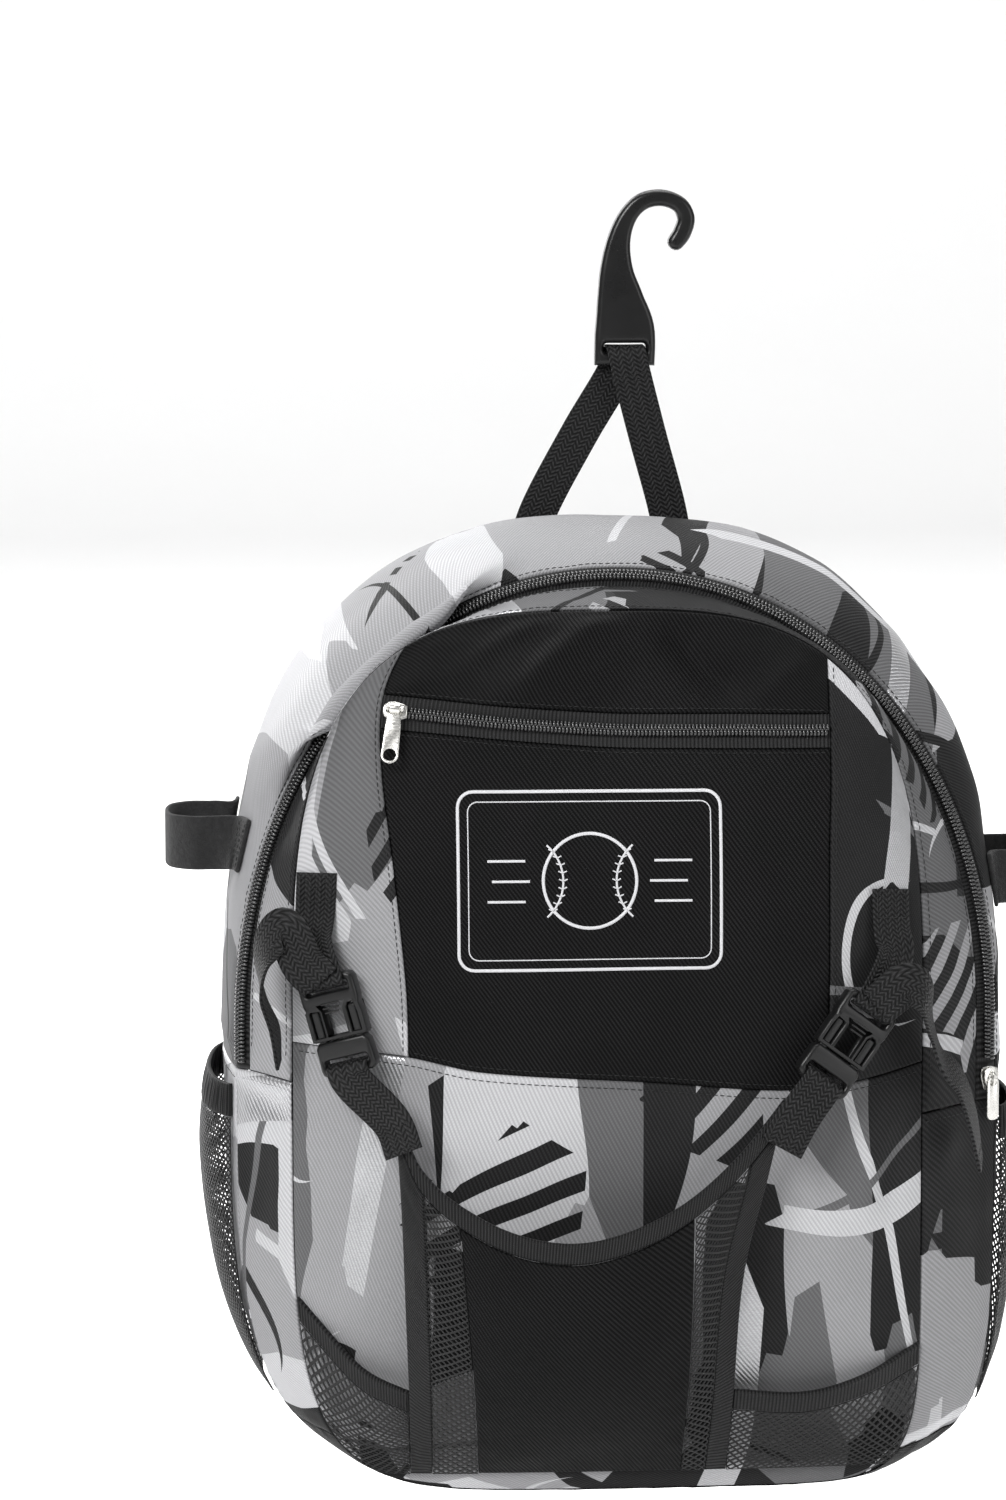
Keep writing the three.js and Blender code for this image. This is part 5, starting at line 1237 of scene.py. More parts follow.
def from_bmeshes(name, parts, matrix, material, nodes, body="bag", angle=50):
    """One piece from several bmeshes in the same local frame."""
    me = bpy.data.meshes.new(name)
    joined = bmesh.new()
    for bm in parts:
        part = bpy.data.meshes.new("part")
        bm.to_mesh(part)
        bm.free()
        joined.from_mesh(part)
        bpy.data.meshes.remove(part)
    bmesh.ops.recalc_face_normals(joined, faces=joined.faces)
    joined.transform(matrix)
    joined.to_mesh(me)
    joined.free()
    me.polygons.foreach_set("use_smooth", [True] * len(me.polygons))
    me.set_sharp_from_angle(angle=math.radians(angle))
    piece(name, me, material, nodes, body)


def shifted_bmesh(bm, x=0.0, y=0.0, z=0.0):
    bm.transform(Matrix.Translation((x * MM, y * MM, z * MM)))
    return bm


def tube_bmesh(points, radius, sides=12, closed=False):
    """Round bar through points, in millimetres."""
    curve = bpy.data.curves.new("bar", "CURVE")
    curve.dimensions = "3D"
    s = curve.splines.new("POLY")
    s.points.add(len(points) - 1)
    for point, (x, y, z) in zip(s.points, points):
        point.co = (x * MM, y * MM, z * MM, 1)
    s.use_cyclic_u = closed
    curve.bevel_depth = radius * MM
    curve.bevel_resolution = max(1, sides // 4)
    curve.use_fill_caps = True
    return curve_bmesh(curve)


def main_slider(p, along, n):
    """Slider of the main zip: two plates round the teeth, a bridge, and a plain pull that lies flat."""
    side = unit(np.cross(n, along))
    outline = [(-5.4, -2.2), (-5.4, 2.2), (-3.5, 3.0), (0.5, 4.1), (3.6, 4.0), (5.0, 2.9), (5.4, 1.2),
               (5.4, -1.2), (5.0, -2.9), (3.6, -4.0), (0.5, -4.1), (-3.5, -3.0)]
    top = shifted_bmesh(plate_mesh([outline], 1.3, 0.5), z=2.0)
    base = shifted_bmesh(plate_mesh([outline], 1.0, 0.35), z=-0.6)
    neck = shifted_bmesh(plate_mesh([rounded(2.4, 2.2, 0.8)], 3.6, 0.3), x=3.6, z=0.8)
    arch = [(-3.4, 0, 2.4), (-3.0, 0, 3.6), (-1.6, 0, 4.3), (1.6, 0, 4.3), (3.0, 0, 3.6), (3.4, 0, 2.4)]
    bridge = tube_bmesh(arch, 0.7)
    turns = np.linspace(0, TAU, 24, endpoint=False)
    ring = [(0.2 + 2.2 * math.cos(a), 1.9 * math.sin(a), 3.0) for a in turns]
    tab = plate_mesh([rounded(20, 6.4, 2.6), rounded(3, 3.2, 1.4, 7.6)], 1.3, 0.4)
    parts = [top, base, neck, bridge, shifted_bmesh(tab, x=-9.2, z=3.1), tube_bmesh(ring, 0.55, closed=True)]
    from_bmeshes("main_zip_slider_body", parts, basis(along, side, n, p), NICKEL, ["main_zip_slider"],
                 angle=40)


main_zip()


def pocket_zip():
    left = meeting(seam_left, zip_line)[0] + SEAM_GAP
    right = meeting(seam_right, zip_line)[0] - SEAM_GAP
    slider_x = left + SLIDER_LENGTH / 2 + REST_GAP
    coil_start = slider_x + SLIDER_LENGTH / 2 + REST_GAP
    x = np.linspace(coil_start, right - REST_GAP, 30)
    n = face_normal(x, zip_line(x))
    teeth("pocket_zip_teeth", list(zip(face_point(x, zip_line(x)) + n * 1.15, n)), 1.7, ["pocket_zip_coil"])


pocket_zip()


# Glove pouch
def pouch_panels():
    side_left, side_right, rim = upright(POUCH_LEFT), upright(POUCH_RIGHT), level(POUCH_RIM)
    rim_low = moved(rim, -BINDING_WIDTH)
    left_in, right_in = moved(side_left, BINDING_WIDTH), moved(side_right, -BINDING_WIDTH)
    middle_left, middle_right = upright(CENTRE_LEFT), upright(CENTRE_RIGHT)
    foot = up_bag(POUCH_FOOT)

    def foot_line(x):
        return np.asarray(x) * 0 + foot

    def quad(uprights, levels):
        a, b = meeting(uprights[0], levels[0]), meeting(uprights[1], levels[0])
        c, d = meeting(uprights[0], levels[1]), meeting(uprights[1], levels[1])
        return patch({
            "left": along_up(uprights[0], a[1], c[1]), "right": along_up(uprights[1], b[1], d[1]),
            "bottom": along_across(levels[0], a[0], b[0]), "top": along_across(levels[1], c[0], d[0]),
        }, pouch_point, pouch_normal)

    sewn("pouch_center", quad((middle_left, middle_right), (foot_line, rim_low)), TWILL, "black_twill",
         wrinkle=1.4, seed=151, step=3.0)

    def ribbed(name, at, along="u"):
        panel = Panel(at, wrinkle=0.35, pucker=0.3, seed=161, roll=1.0, thickness=BINDING)
        panel.build(name + "_tape", RIBBED, [name], "grosgrain", 2.5, turn=(along == "v"))
    ribbed("pouch_rim", quad((side_left, side_right), (rim_low, rim)))
    ribbed("pouch_binding_left", quad((side_left, left_in), (foot_line, rim_low)), "v")
    ribbed("pouch_binding_right", quad((right_in, side_right), (foot_line, rim_low)), "v")
    net("pouch_mesh_left", quad((left_in, middle_left), (foot_line, rim_low)))
    net("pouch_mesh_right", quad((middle_right, right_in), (foot_line, rim_low)))

    def edge(line, side):
        angle = level_edge(line, side)
        return angle, ring_place(angle)
    bands = ((-1, "left", LEFT_BAND, side_left), (1, "right", RIGHT_BAND, side_right))
    for side, name, table, up_line in bands:
        line = level(table)
        line_low = moved(line, -BINDING_WIDTH)
        high, low, base = edge(line, side), edge(line_low, side), edge(foot_line, side)
        meet_high, meet_low = meeting(up_line, line), meeting(up_line, line_low)
        meet_foot = np.array([float(up_line(foot)), foot])
        outer, inner = along_ring(low[0], high[0]), along_up(up_line, meet_low[1], meet_high[1])
        bottom = (low[1][0], meet_low[0]) if side < 0 else (meet_low[0], low[1][0])
        top = (high[1][0], meet_high[0]) if side < 0 else (meet_high[0], high[1][0])
        ribbed("band_binding_" + name, patch({
            "left": outer if side < 0 else inner, "right": inner if side < 0 else outer,
            "bottom": along_across(line_low, *bottom), "top": along_across(line, *top),
        }, pouch_point, pouch_normal))
        outer, inner = along_ring(base[0], low[0]), along_up(up_line, meet_foot[1], meet_low[1])
        net("band_mesh_" + name, patch({
            "left": outer if side < 0 else inner, "right": inner if side < 0 else outer,
            "bottom": straight(base[1], meet_foot) if side < 0 else straight(meet_foot, base[1]),
            "top": along_across(line_low, *bottom),
        }, pouch_point, pouch_normal))


def net(name, at, cell=(4.4, 3.3), wrinkle=1.1, seed=171):
    """Knitted net: a lattice of even diamond cells round open holes, cut off at a panel's edges."""
    hole, thick = 0.7, 0.5
    panel = Panel(at, gap=0.1, wrinkle=wrinkle, pucker=0.1, seed=seed)
    line = np.linspace(0, 1, 31)
    widths = np.array([length_of(at(line, np.full(31, v))[0]) for v in line])
    nu = int(math.ceil(widths.max() / cell[0])) * 2
    nv = max(2, int(round(panel.length_v / cell[1]))) * 2
    i, j = np.meshgrid(np.arange(-1, nu + 2), np.arange(-1, nv + 2))
    v = np.clip(j / nv, 0, 1)
    u = 0.5 + (i - nu / 2) * cell[0] / 2 / np.interp(v, line, widths)
    inside = (u > -0.5 * cell[0] / widths.min()) & (u < 1 + 0.5 * cell[0] / widths.min())
    uv = np.stack([np.clip(u, 0, 1), v], -1).reshape(-1, 2)
    cols = nu + 3
    a, b = (x.ravel() for x in np.meshgrid(np.arange(1, nu + 2), np.arange(1, nv + 2)))
    odd = (a + b) % 2 == 1
    a, b = a[odd], b[odd]
    keep = inside[b, a]
    a, b = a[keep], b[keep]
    rhombs = np.stack([b * cols + a - 1, (b - 1) * cols + a, b * cols + a + 1, (b + 1) * cols + a], -1)
    uv, same = np.unique(np.round(uv, 7), axis=0, return_inverse=True)
    rhombs = same.reshape(-1)[rhombs]
    corners = uv[rhombs] * (panel.length_u, panel.length_v)
    d1, d2 = corners[:, 2] - corners[:, 0], corners[:, 3] - corners[:, 1]
    rhombs = rhombs[np.abs(d1[:, 0] * d2[:, 1] - d1[:, 1] * d2[:, 0]) > 0.6]
    corners = uv[rhombs]
    middle = corners.mean(1, keepdims=True)
    inner = middle + (corners - middle) * hole
    outer_count = len(uv)
    uv = np.concatenate([uv, inner.reshape(-1, 2)])
    p, n = panel.front(uv[:, 0], uv[:, 1], -NET_WALL / 2 + thick / 2)
    count = len(uv)
    faces, edges = [], set()
    for k, corner in enumerate(rhombs.tolist()):
        base = outer_count + 4 * k
        for c in range(4):
            a, b = corner[c], corner[(c + 1) % 4]
            m, o = base + c, base + (c + 1) % 4
            faces.append([a, b, o, m] if a != b else [a, o, m])
            faces.append([x + count for x in faces[-1][::-1]])
            faces.append([m, o, o + count, m + count])
            if a != b:
                edges.add((a, b))
    faces += [[b, a, a + count, b + count] for a, b in sorted(edges) if (b, a) not in edges]
    a, b, c = (p[faces[0][k]] for k in range(3))
    if np.cross(b - a, c - b) @ n[faces[0][0]] < 0:
        faces = [f[::-1] for f in faces]
    used = sorted({v for f in faces for v in f})
    new = {v: k for k, v in enumerate(used)}
    ob = make(name + "_net", np.concatenate([p, p - n * thick])[used], [[new[v] for v in f] for f in faces],
              NET_THREAD, None, [name])
    grid_u, grid_v = np.meshgrid(line, line)
    q = panel.raw(grid_u, grid_v)[0]


pouch_panels()


# Side pockets
def side_pocket(name, from_angle, side):
    from_ring, to_ring = 0.35, ZIP_OUTER - 0.25
    low_angle = CORNER - 3

    def surface(degrees, t):
        angle = np.radians(degrees * side)
        u = (t - from_ring) / (to_ring - from_ring)
        v = (degrees - from_angle) / (low_angle - from_angle)
        swell = np.power(np.maximum(0, np.sin(math.pi * np.clip(u, 0, 1))), 0.7)
        full = swell * (1 - POCKET_TAPER * v * v) * smoothstep(v, -POCKET_EASE, POCKET_EASE)
        lift = REST_GAP + ELASTIC + POCKET_LIFT * full
        return skin_point(angle, t) + skin_normal(angle, t) * lift[..., None]

    def at_between(a, b):
        def at(u, v):
            u, v = np.broadcast_arrays(np.asarray(u, float), np.asarray(v, float))
            degrees, t = lerp(a, b, v), lerp(from_ring, to_ring, u)
            turn = (surface(degrees + 0.6, t) - surface(degrees - 0.6, t)) * side
            step = surface(degrees, t + 0.06) - surface(degrees, t - 0.06)
            return surface(degrees, t), unit(np.cross(step, turn))
        return at
    hem = from_angle + math.degrees(ELASTIC_HEIGHT / HALF_WIDTH)
    gathered = Panel(at_between(from_angle, hem), wrinkle=0.6, pucker=0.0, seed=181, roll=0.8,
                     thickness=ELASTIC)
    plain_relief = gathered.relief

    def gathered_relief(u, v, p):
        ripple = np.sin(u * gathered.length_u / 4.6 * TAU) * np.sin(math.pi * v) ** 0.5
        return plain_relief(u, v, p) + 0.45 * ripple
    gathered.relief = gathered_relief
    gathered.build("elastic_" + name + "_hem", RIBBED, ["elastic_" + name], "grosgrain", 1.2)
    gap = math.degrees(2 * SEAM_GAP / HALF_WIDTH)
    net("side_mesh_" + name, at_between(hem + gap * 0.3, low_angle), cell=(4.6, 3.6), wrinkle=1.6, seed=191)


side_pocket("left", 97, -1)
side_pocket("right", 101, 1)


# Fence hook and its webbing
HOOK_SPINE = np.array([
    (-0.215, -0.93, 0.98), (-0.213, -0.72, 0.97), (-0.24, -0.54, 0.76), (-0.262, -0.37, 0.54),
    (-0.25, -0.2, 0.38), (-0.2, -0.06, 0.3), (-0.115, 0.03, 0.28), (0.0, 0.054, 0.27), (0.105, 0.015, 0.27),
    (0.147, -0.065, 0.28), (0.125, -0.15, 0.29), (0.088, -0.205, 0.27),
])


def uniform_spline(points, values):
    """Uniform curve through points, at shares from 0 to 1 of its stops."""
    p = np.asarray(points, float)
    last = len(p) - 1
    place = np.asarray(values, float) * last
    i = np.minimum(np.floor(place).astype(int), last - 1)
    w = (place - i)[:, None]
    p0, p1, p2, p3 = p[np.maximum(i - 1, 0)], p[i], p[np.minimum(i + 1, last)], p[np.minimum(i + 2, last)]
    p0 = np.where((i == 0)[:, None], p[0], p0)
    v0, v1 = (p2 - p0) * 0.5, (p3 - p1) * 0.5
    return (2 * p1 - 2 * p2 + v0 + v1) * w ** 3 + (-3 * p1 + 3 * p2 - 2 * v0 - v1) * w ** 2 + v0 * w + p1


def fence_hook():
    values = np.linspace(0, 1, 61)
    spine = HOOK_SPINE[:, :2] * HOOK_HEIGHT
    p, ahead, behind = (uniform_spline(spine, np.clip(values + by, 0, 1)) for by in (0, 1e-3, -1e-3))
    d = (ahead - behind) / np.linalg.norm(ahead - behind, axis=1, keepdims=True)
    last = len(HOOK_SPINE) - 1
    width = from_table(range(last + 1), HOOK_SPINE[:, 2] * HOOK_BASE, values * last)
    side = np.stack([-d[:, 1], d[:, 0]], -1) * width[:, None] / 2
    left, right = p + side, p - side
    tip = [p[-1] + (d[-1] * width[-1] / 2 * math.sin(a) - side[-1] * math.cos(a))
           for a in np.linspace(0.3, math.pi - 0.3, 7)]
    outline = [tuple(x) for x in right] + [tuple(x) for x in tip] + [tuple(x) for x in left[::-1]]
    slot_x = spine[0, 0]
    slot_z = spine[0, 1] + HOOK_BAR + HOOK_SLOT_HEIGHT / 2
    slot_hole = rounded(HOOK_SLOT_WIDTH, HOOK_SLOT_HEIGHT, 1.8, slot_x, slot_z)
    body = plate_mesh([outline, slot_hole], HOOK_THICKNESS, 2.6, 6)
    face = basis((1, 0, 0), (0, 0, 1), (0, -1, 0), (0, 0, 0))
    from_bmeshes("fence_hook_body", [body], face, HOOK_PLASTIC, ["fence_hook"])
    return slot_x, slot_z


def stop(x, y, z, face):
    return (np.array([x, y, z], float), np.array(face, float))


def hook_strap(slot_place):
    slot_x, slot_z = slot_place
    off = HOOK_THICKNESS / 2 + REST_GAP + HOOK_WEBBING_WALL / 2
    foot = up_bag(0.955)
    back_off = REST_GAP + HOOK_WEBBING_WALL / 2
    front, back = (0, -1, 0), (0, 1, 0)
    left, right = across_bag(-0.175), across_bag(0.215)
    under = slot_z - HOOK_SLOT_HEIGHT / 2 - HOOK_BAR
    arc = HOOK_SLOT_HEIGHT / 2 - 0.6
    route = [
        stop(right, back_off, foot, front),
        stop(lerp(right, slot_x, 0.12), back_off, BAG_TOP - 2, front),
        stop(lerp(right, slot_x, 0.55), -off * 0.5, lerp(BAG_TOP, under, 0.52), front),
        stop(slot_x + 2.5, -off, under - 1, front),
        stop(slot_x + 0.8, -off, slot_z - arc, front),
        stop(slot_x, 0, slot_z + HOOK_SLOT_HEIGHT / 2 - HOOK_WEBBING_WALL, (0, 0, 1)),
        stop(slot_x - 0.8, off, slot_z - arc, back),
        stop(slot_x - 2.5, off, under - 1, back),
        stop(lerp(left, slot_x, 0.55), off * 0.75, lerp(BAG_TOP, under, 0.52), back),
        stop(lerp(left, slot_x, 0.12), back_off, BAG_TOP - 2, back),
        stop(left, back_off, foot, back),
    ]
    _, frames = band("hook_webbing_strap", route, HOOK_WEBBING, HOOK_WEBBING_WALL, WEB, ["hook_webbing"],
                     1.4)
    far = frames[4][-1]
    box_stitch(frames, 2, 18, HOOK_WEBBING, -HOOK_WEBBING_WALL)
    box_stitch(frames, far - 18, far - 2, HOOK_WEBBING, -HOOK_WEBBING_WALL)
    middle = far / 2
    box_stitch(frames, middle - 24, middle - 21, HOOK_WEBBING, HOOK_WEBBING_WALL)


hook_strap(fence_hook())


# Compression straps and their side release buckles
def on_face(across, up, off):
    x, z = across_bag(across), up_bag(up)
    n = face_normal(np.array(x), np.array(z))
    return face_point(x, z) + n * off, n


def web(node_name, route, width=WEBBING, step=1.4):
    """Piece of webbing that stands for one node; gives its frames."""
    return band(node_name + "_web", route, width, WEBBING_WALL, WEB, [node_name], step)[1]


def mirrored(half):
    """Closed outline from its right half."""
    return [(-half[0][0], half[0][1])] + half + [(-x, y) for x, y in half[:0:-1]]


def buckle(name, middle, face, up):
    across = unit(np.cross(up, face))
    m = basis(across, up, face, middle)
    slot_z = SOCKET_LENGTH / 2 - BUCKLE_BAR - BUCKLE_SLOT / 2
    window, window_length = 4.6, SOCKET_LENGTH * 0.52
    w, h = BUCKLE_WIDTH / 2, SOCKET_LENGTH / 2
    wx = w - window / 2 - 2.6
    full = mirrored([(w - 3.4, h), (w - 1.4, h - 0.8), (w - 0.2, h - 3), (w - 0.2, 3), (w - 1.0, 0),
                     (w - 0.4, -4), (w - 0.4, -h + 1.2), (w - 1.4, -h)])
    hole = rounded(WEBBING + 1, BUCKLE_SLOT, 1.2, 0, slot_z)
    windows = []
    inner, outer, end = wx - window / 2, wx + window / 2, -h + window_length
    for s in (-1, 1):
        windows.append([(s * inner, -h + 2.2), (s * outer, -h + 2.2), (s * outer, end - 1.6),
                        (s * (outer - 1.4), end), (s * (inner + 1.2), end), (s * inner, end - 1.8)])
    body = plate_mesh([full, hole, *windows], BUCKLE - 0.4, 1.7, 4)
    ridges = [shifted_bmesh(plate_mesh([rounded(9 - k, 0.9, 0.4)], 1.0, 0.3), y=2.2 - 2.0 * k,
                            z=BUCKLE / 2 - 0.25) for k in range(3)]
    from_bmeshes("buckle_socket_" + name + "_body", [body, *ridges], m, PLASTIC, ["buckle_socket_" + name])
    centre = -h - BUCKLE_GAP - PRONG_BASE / 2
    low, high = centre - PRONG_BASE / 2, centre + PRONG_BASE / 2
    prong_slot = low + BUCKLE_BAR + BUCKLE_SLOT / 2
    b = w - 0.5
    base = mirrored([(b - 2.6, low), (b - 0.6, low + 1.4), (b, low + 3.6), (b - 0.4, high - 2.4),
                     (b - 2.2, high)])
    parts = [plate_mesh([base, rounded(WEBBING + 1, BUCKLE_SLOT, 1.2, 0, prong_slot)], BUCKLE - 0.4, 1.6, 4)]
    arm = window - 2 * BUCKLE_GAP
    reach = min(PRONG_REACH, window_length - BUCKLE_GAP)
    for s in (-1, 1):
        prong = plate_mesh([rounded(arm, reach + 2, 1.1)], BUCKLE * 0.6, 0.8, 3)
        parts.append(shifted_bmesh(prong, x=s * wx, y=-h - BUCKLE_GAP + reach / 2 - 1))
    from_bmeshes("buckle_prong_" + name + "_body", parts, m, PLASTIC, ["buckle_prong_" + name])
    return slot_z, prong_slot


def buckled_strap(name, at, lean, off, upper_rows, lower_rows, tail_rows):
    middle, face = on_face(at[0], at[1], BUCKLE / 2 + off)
    lean = unit(np.array([lean[0], 0, lean[1]]))
    up = unit(lean - face * (lean @ face))
    slot_top, slot_bottom = buckle(name, middle, face, up)

    def local(z, out):
        return middle + up * z + face * out
    over = BUCKLE / 2 + REST_GAP + WEBBING_WALL / 2
    rest = REST_GAP + WEBBING_WALL / 2
    upper = [on_face(a, b, rest + c) for a, b, c in upper_rows]
    bar_top = slot_top + BUCKLE_SLOT / 2
    upper += [(local(bar_top + BUCKLE_BAR + 2, over * 0.9), face), (local(bar_top, over), face),
              (local(slot_top, WEBBING_WALL), up)]
    box_stitch(web("strap_upper_" + name, upper), 2, 13, WEBBING, WEBBING_WALL)
    bar_low = slot_bottom - BUCKLE_SLOT / 2
    lower = [(local(slot_bottom, WEBBING_WALL), -up), (local(bar_low, over), face),
             (local(bar_low - BUCKLE_BAR - 2, over * 0.9), face)]
    for a, b, c in lower_rows:
        x, z = np.array(across_bag(a)), np.array(up_bag(b))
        n = pouch_normal(x, z)
        lower.append((pouch_point(x, z) + n * (rest + c), n))
    frames = web("strap_lower_" + name, lower)
    end = frames[4][-1]
    box_stitch(frames, end - 12, end - 2, WEBBING, WEBBING_WALL)
    tail = [(local(bar_top + BUCKLE_BAR / 2, over + WEBBING_WALL + REST_GAP), face)]
    for a, b, depth, fx, fy, fz in tail_rows:
        tail.append(stop(across_bag(a), -depth * BAG_DEPTH, up_bag(b), (fx, fy, fz)))
    frames = web("strap_tail_" + name, tail)
    end = frames[4][-1]
    box_stitch(frames, end - 7, end - 2, WEBBING, WEBBING_WALL)


buckled_strap("left", (-0.707, 0.531), (-0.32, 1), 4, [
    (-0.76, 0.662, 0), (-0.762, 0.62, 1), (-0.755, 0.594, 6),
], [(-0.575, 0.415, 2), (-0.55, 0.385, 1.2)], [
    (-0.8, 0.575, 1.01, -0.3, -1, 0.2), (-0.85, 0.612, 1.0, -0.6, -1, 0.3), (-0.9, 0.585, 0.96, -1, -0.4, 0),
    (-0.902, 0.54, 0.95, -1, 0.1, 0), (-0.872, 0.505, 0.955, -1, 0.2, 0), (-0.862, 0.468, 0.95, -1, 0.1, 0),
])
buckled_strap("right", (0.566, 0.502), (0.68, 0.9), 4, [
    (0.672, 0.64, 0), (0.668, 0.6, 2), (0.668, 0.575, 5),
], [(0.42, 0.415, 3.4), (0.38, 0.385, 3.6)], [
    (0.7, 0.55, 1.05, 0.2, -1, 0.2), (0.745, 0.54, 1.035, 0.8, -0.6, 0.2), (0.77, 0.5, 0.985, 1, -0.2, 0.1),
    (0.8, 0.465, 0.975, 1, -0.25, 0.3), (0.85, 0.44, 0.95, 1, -0.35, 0.3), (0.885, 0.4, 0.93, 1, -0.3, 0.1),
    (0.91, 0.35, 0.91, 1, -0.2, 0.1),
])


# Bat loops of hook and loop tape
def bisect(low, high, test, tries=30):
    for _ in range(tries):
        mid = (low + high) / 2
        if test(mid):
            low = mid
        else:
            high = mid
    return low


def angle_at(z, t, side):
    return bisect(0.0, math.pi, lambda a: ring_point(side * a, t)[2] > z)


def bat_strap(name, side, up, reach):
    z = up_bag(up)
    back = BAG_DEPTH * LOOP_BACK
    front = back + LOOP_DEPTH

    def depth_at(t):
        return -ring_point(side * angle_at(z, t, side), t)[1]

    def root(depth, off):
        t = bisect(0.0, float(FOLD_RING), lambda m: depth_at(m) < depth, 24)
        angle = side * angle_at(z, t, side)
        n = skin_normal(angle, t)
        return skin_point(angle, t) + n * (off + REST_GAP + BAT_STRAP_WALL / 2), n
    widest = max(side * (root(d, 0)[0][0] - BAG_OFFSET) for d in (back, front))
    out = BAG_OFFSET + side * (widest + reach)
    near = BAG_OFFSET + side * (widest + 9)
    r = 9
    route = [
        root(back - 12, 0), root(back - 2, 0.6),
        stop(near, -(back + 1), z, (0.3 * side, 1, 0)),
        stop(out - side * r, -(back + 1), z, (0.2 * side, 1, 0)),
        stop(out, -(back + r), z, (side, 0.2, 0)), stop(out, -(front - r), z, (side, -0.2, 0)),
        stop(out - side * r, -(front - 1), z, (0.2 * side, -1, 0)),
        stop(near, -(front - 1), z, (0.3 * side, -1, 0)),
        root(front + 2, 0.6), root(front + 12, 0),
    ]
    _, frames = band("bat_strap_" + name + "_tape", route, BAT_STRAP, BAT_STRAP_WALL, NAPPED,
                     ["bat_strap_" + name], 1.4, wave=0.3)
    end = frames[4][-1]
    box_stitch(frames, 1.5, 10, BAT_STRAP, BAT_STRAP_WALL)
    box_stitch(frames, end - 10, end - 1.5, BAT_STRAP, BAT_STRAP_WALL)


bat_strap("left", -1, 0.67, LOOP_REACH)
bat_strap("right", 1, 0.625, LOOP_REACH * 0.8)


# Padded back and carrying straps
def back_panel():
    turns = crowded(np.linspace(0, TAU, 241)[:-1])
    p = ring_point(turns, 0.0)
    middle = np.array([BAG_OFFSET, up_bag(RING_CENTRE)])
    out = p[:, [0, 2]] - middle
    far = np.linalg.norm(out, axis=1, keepdims=True)
    edge = out * (1 - 2.4 / far)
    near_edge = 1 - np.array([0.05, 0.035, 0.02, 0.01, 0.004, 0.0])
    shares = np.concatenate([np.linspace(0.02, 0.93, 46), near_edge])
    place = middle + edge[None] * shares[:, None, None]
    x, z = place[..., 0], place[..., 1]
    rim = 1 - shares[:, None] + 0 * x
    crown = 3.2 * smoothstep(rim, 0, 0.16)
    channels = 0
    for cx in (-0.52, -0.17, 0.17, 0.52):
        sway = 6 * np.sin((z + 330) / 60) * np.sign(cx)
        channels = channels + np.exp(-((x - across_bag(cx) + sway) / 4.2) ** 2)
    for cz in (0.22, 0.42, 0.62, 0.82):
        channels = channels + 0.6 * np.exp(-((z - up_bag(cz) + 0.0007 * (x + 32) ** 2) / 3.6) ** 2)
    lump = noise(np.stack([x, x * 0, z], -1), (34, 1, 34), 201)
    turned = 3.5 * (1 - np.sqrt(np.maximum(0, 1 - (1 - np.clip(rim * far.T / 3.5, 0, 1)) ** 2)))
    y_back = -3.4 + crown - 2.4 * np.clip(channels, 0, 1.3) * smoothstep(rim, 0.02, 0.1) + 0.35 * lump
    outer = np.stack([x, np.minimum(y_back, 0.15) - turned * 0.6, z], -1)
    inner = np.stack([x, np.full_like(x, -BACK_PAD), z], -1)
    rows, cols = x.shape
    i = np.arange(cols)
    i2 = (i + 1) % cols
    quads = []
    layer = rows * cols
    for j in range(rows - 1):
        a = np.stack([j * cols + i, j * cols + i2, (j + 1) * cols + i2, (j + 1) * cols + i], -1)
        quads.append(a)
        quads.append(a[:, ::-1] + layer)
    last = (rows - 1) * cols
    quads.append(np.stack([last + i, last + i2, last + i2 + layer, last + i + layer], -1))
    quads = np.concatenate(quads).tolist()
    quads.append([int(k) for k in i[::-1]])
    quads.append([int(k) + layer for k in i])
    verts = np.concatenate([outer.reshape(-1, 3), inner.reshape(-1, 3)])
    cloth = np.stack([x, z, 0 * x], -1).reshape(-1, 3)
    ob = make("back_panel_pad", verts, quads, PAD_CLOTH, np.concatenate([cloth, cloth]), ["back_panel"])
    bm = bmesh.new()
    bm.from_mesh(ob.data)
    bmesh.ops.recalc_face_normals(bm, faces=bm.faces)
    bm.to_mesh(ob.data)
    bm.free()


back_panel()


def pad_section():
    """Outline of a padded strap: full in the middle, thin where its binding is sewn."""
    half = PAD_WIDTH / 2
    pts = []
    for x in np.linspace(-half, half, 33):
        e = half - abs(x)
        swell = 0.35 + 0.65 * smoothstep(e, 0, 11) if e > 4.5 else 0.42
        pts.append((x, PAD_THICKNESS / 2 * swell * (1 - 0.12 * math.exp(-(x / 3.0) ** 2))))
    low = [(x, -PAD_THICKNESS / 2 * (0.35 + 0.6 * float(smoothstep(half - abs(x), 0, 11))))
           for x in np.linspace(half, -half, 33)]
    return np.array(pts + low)


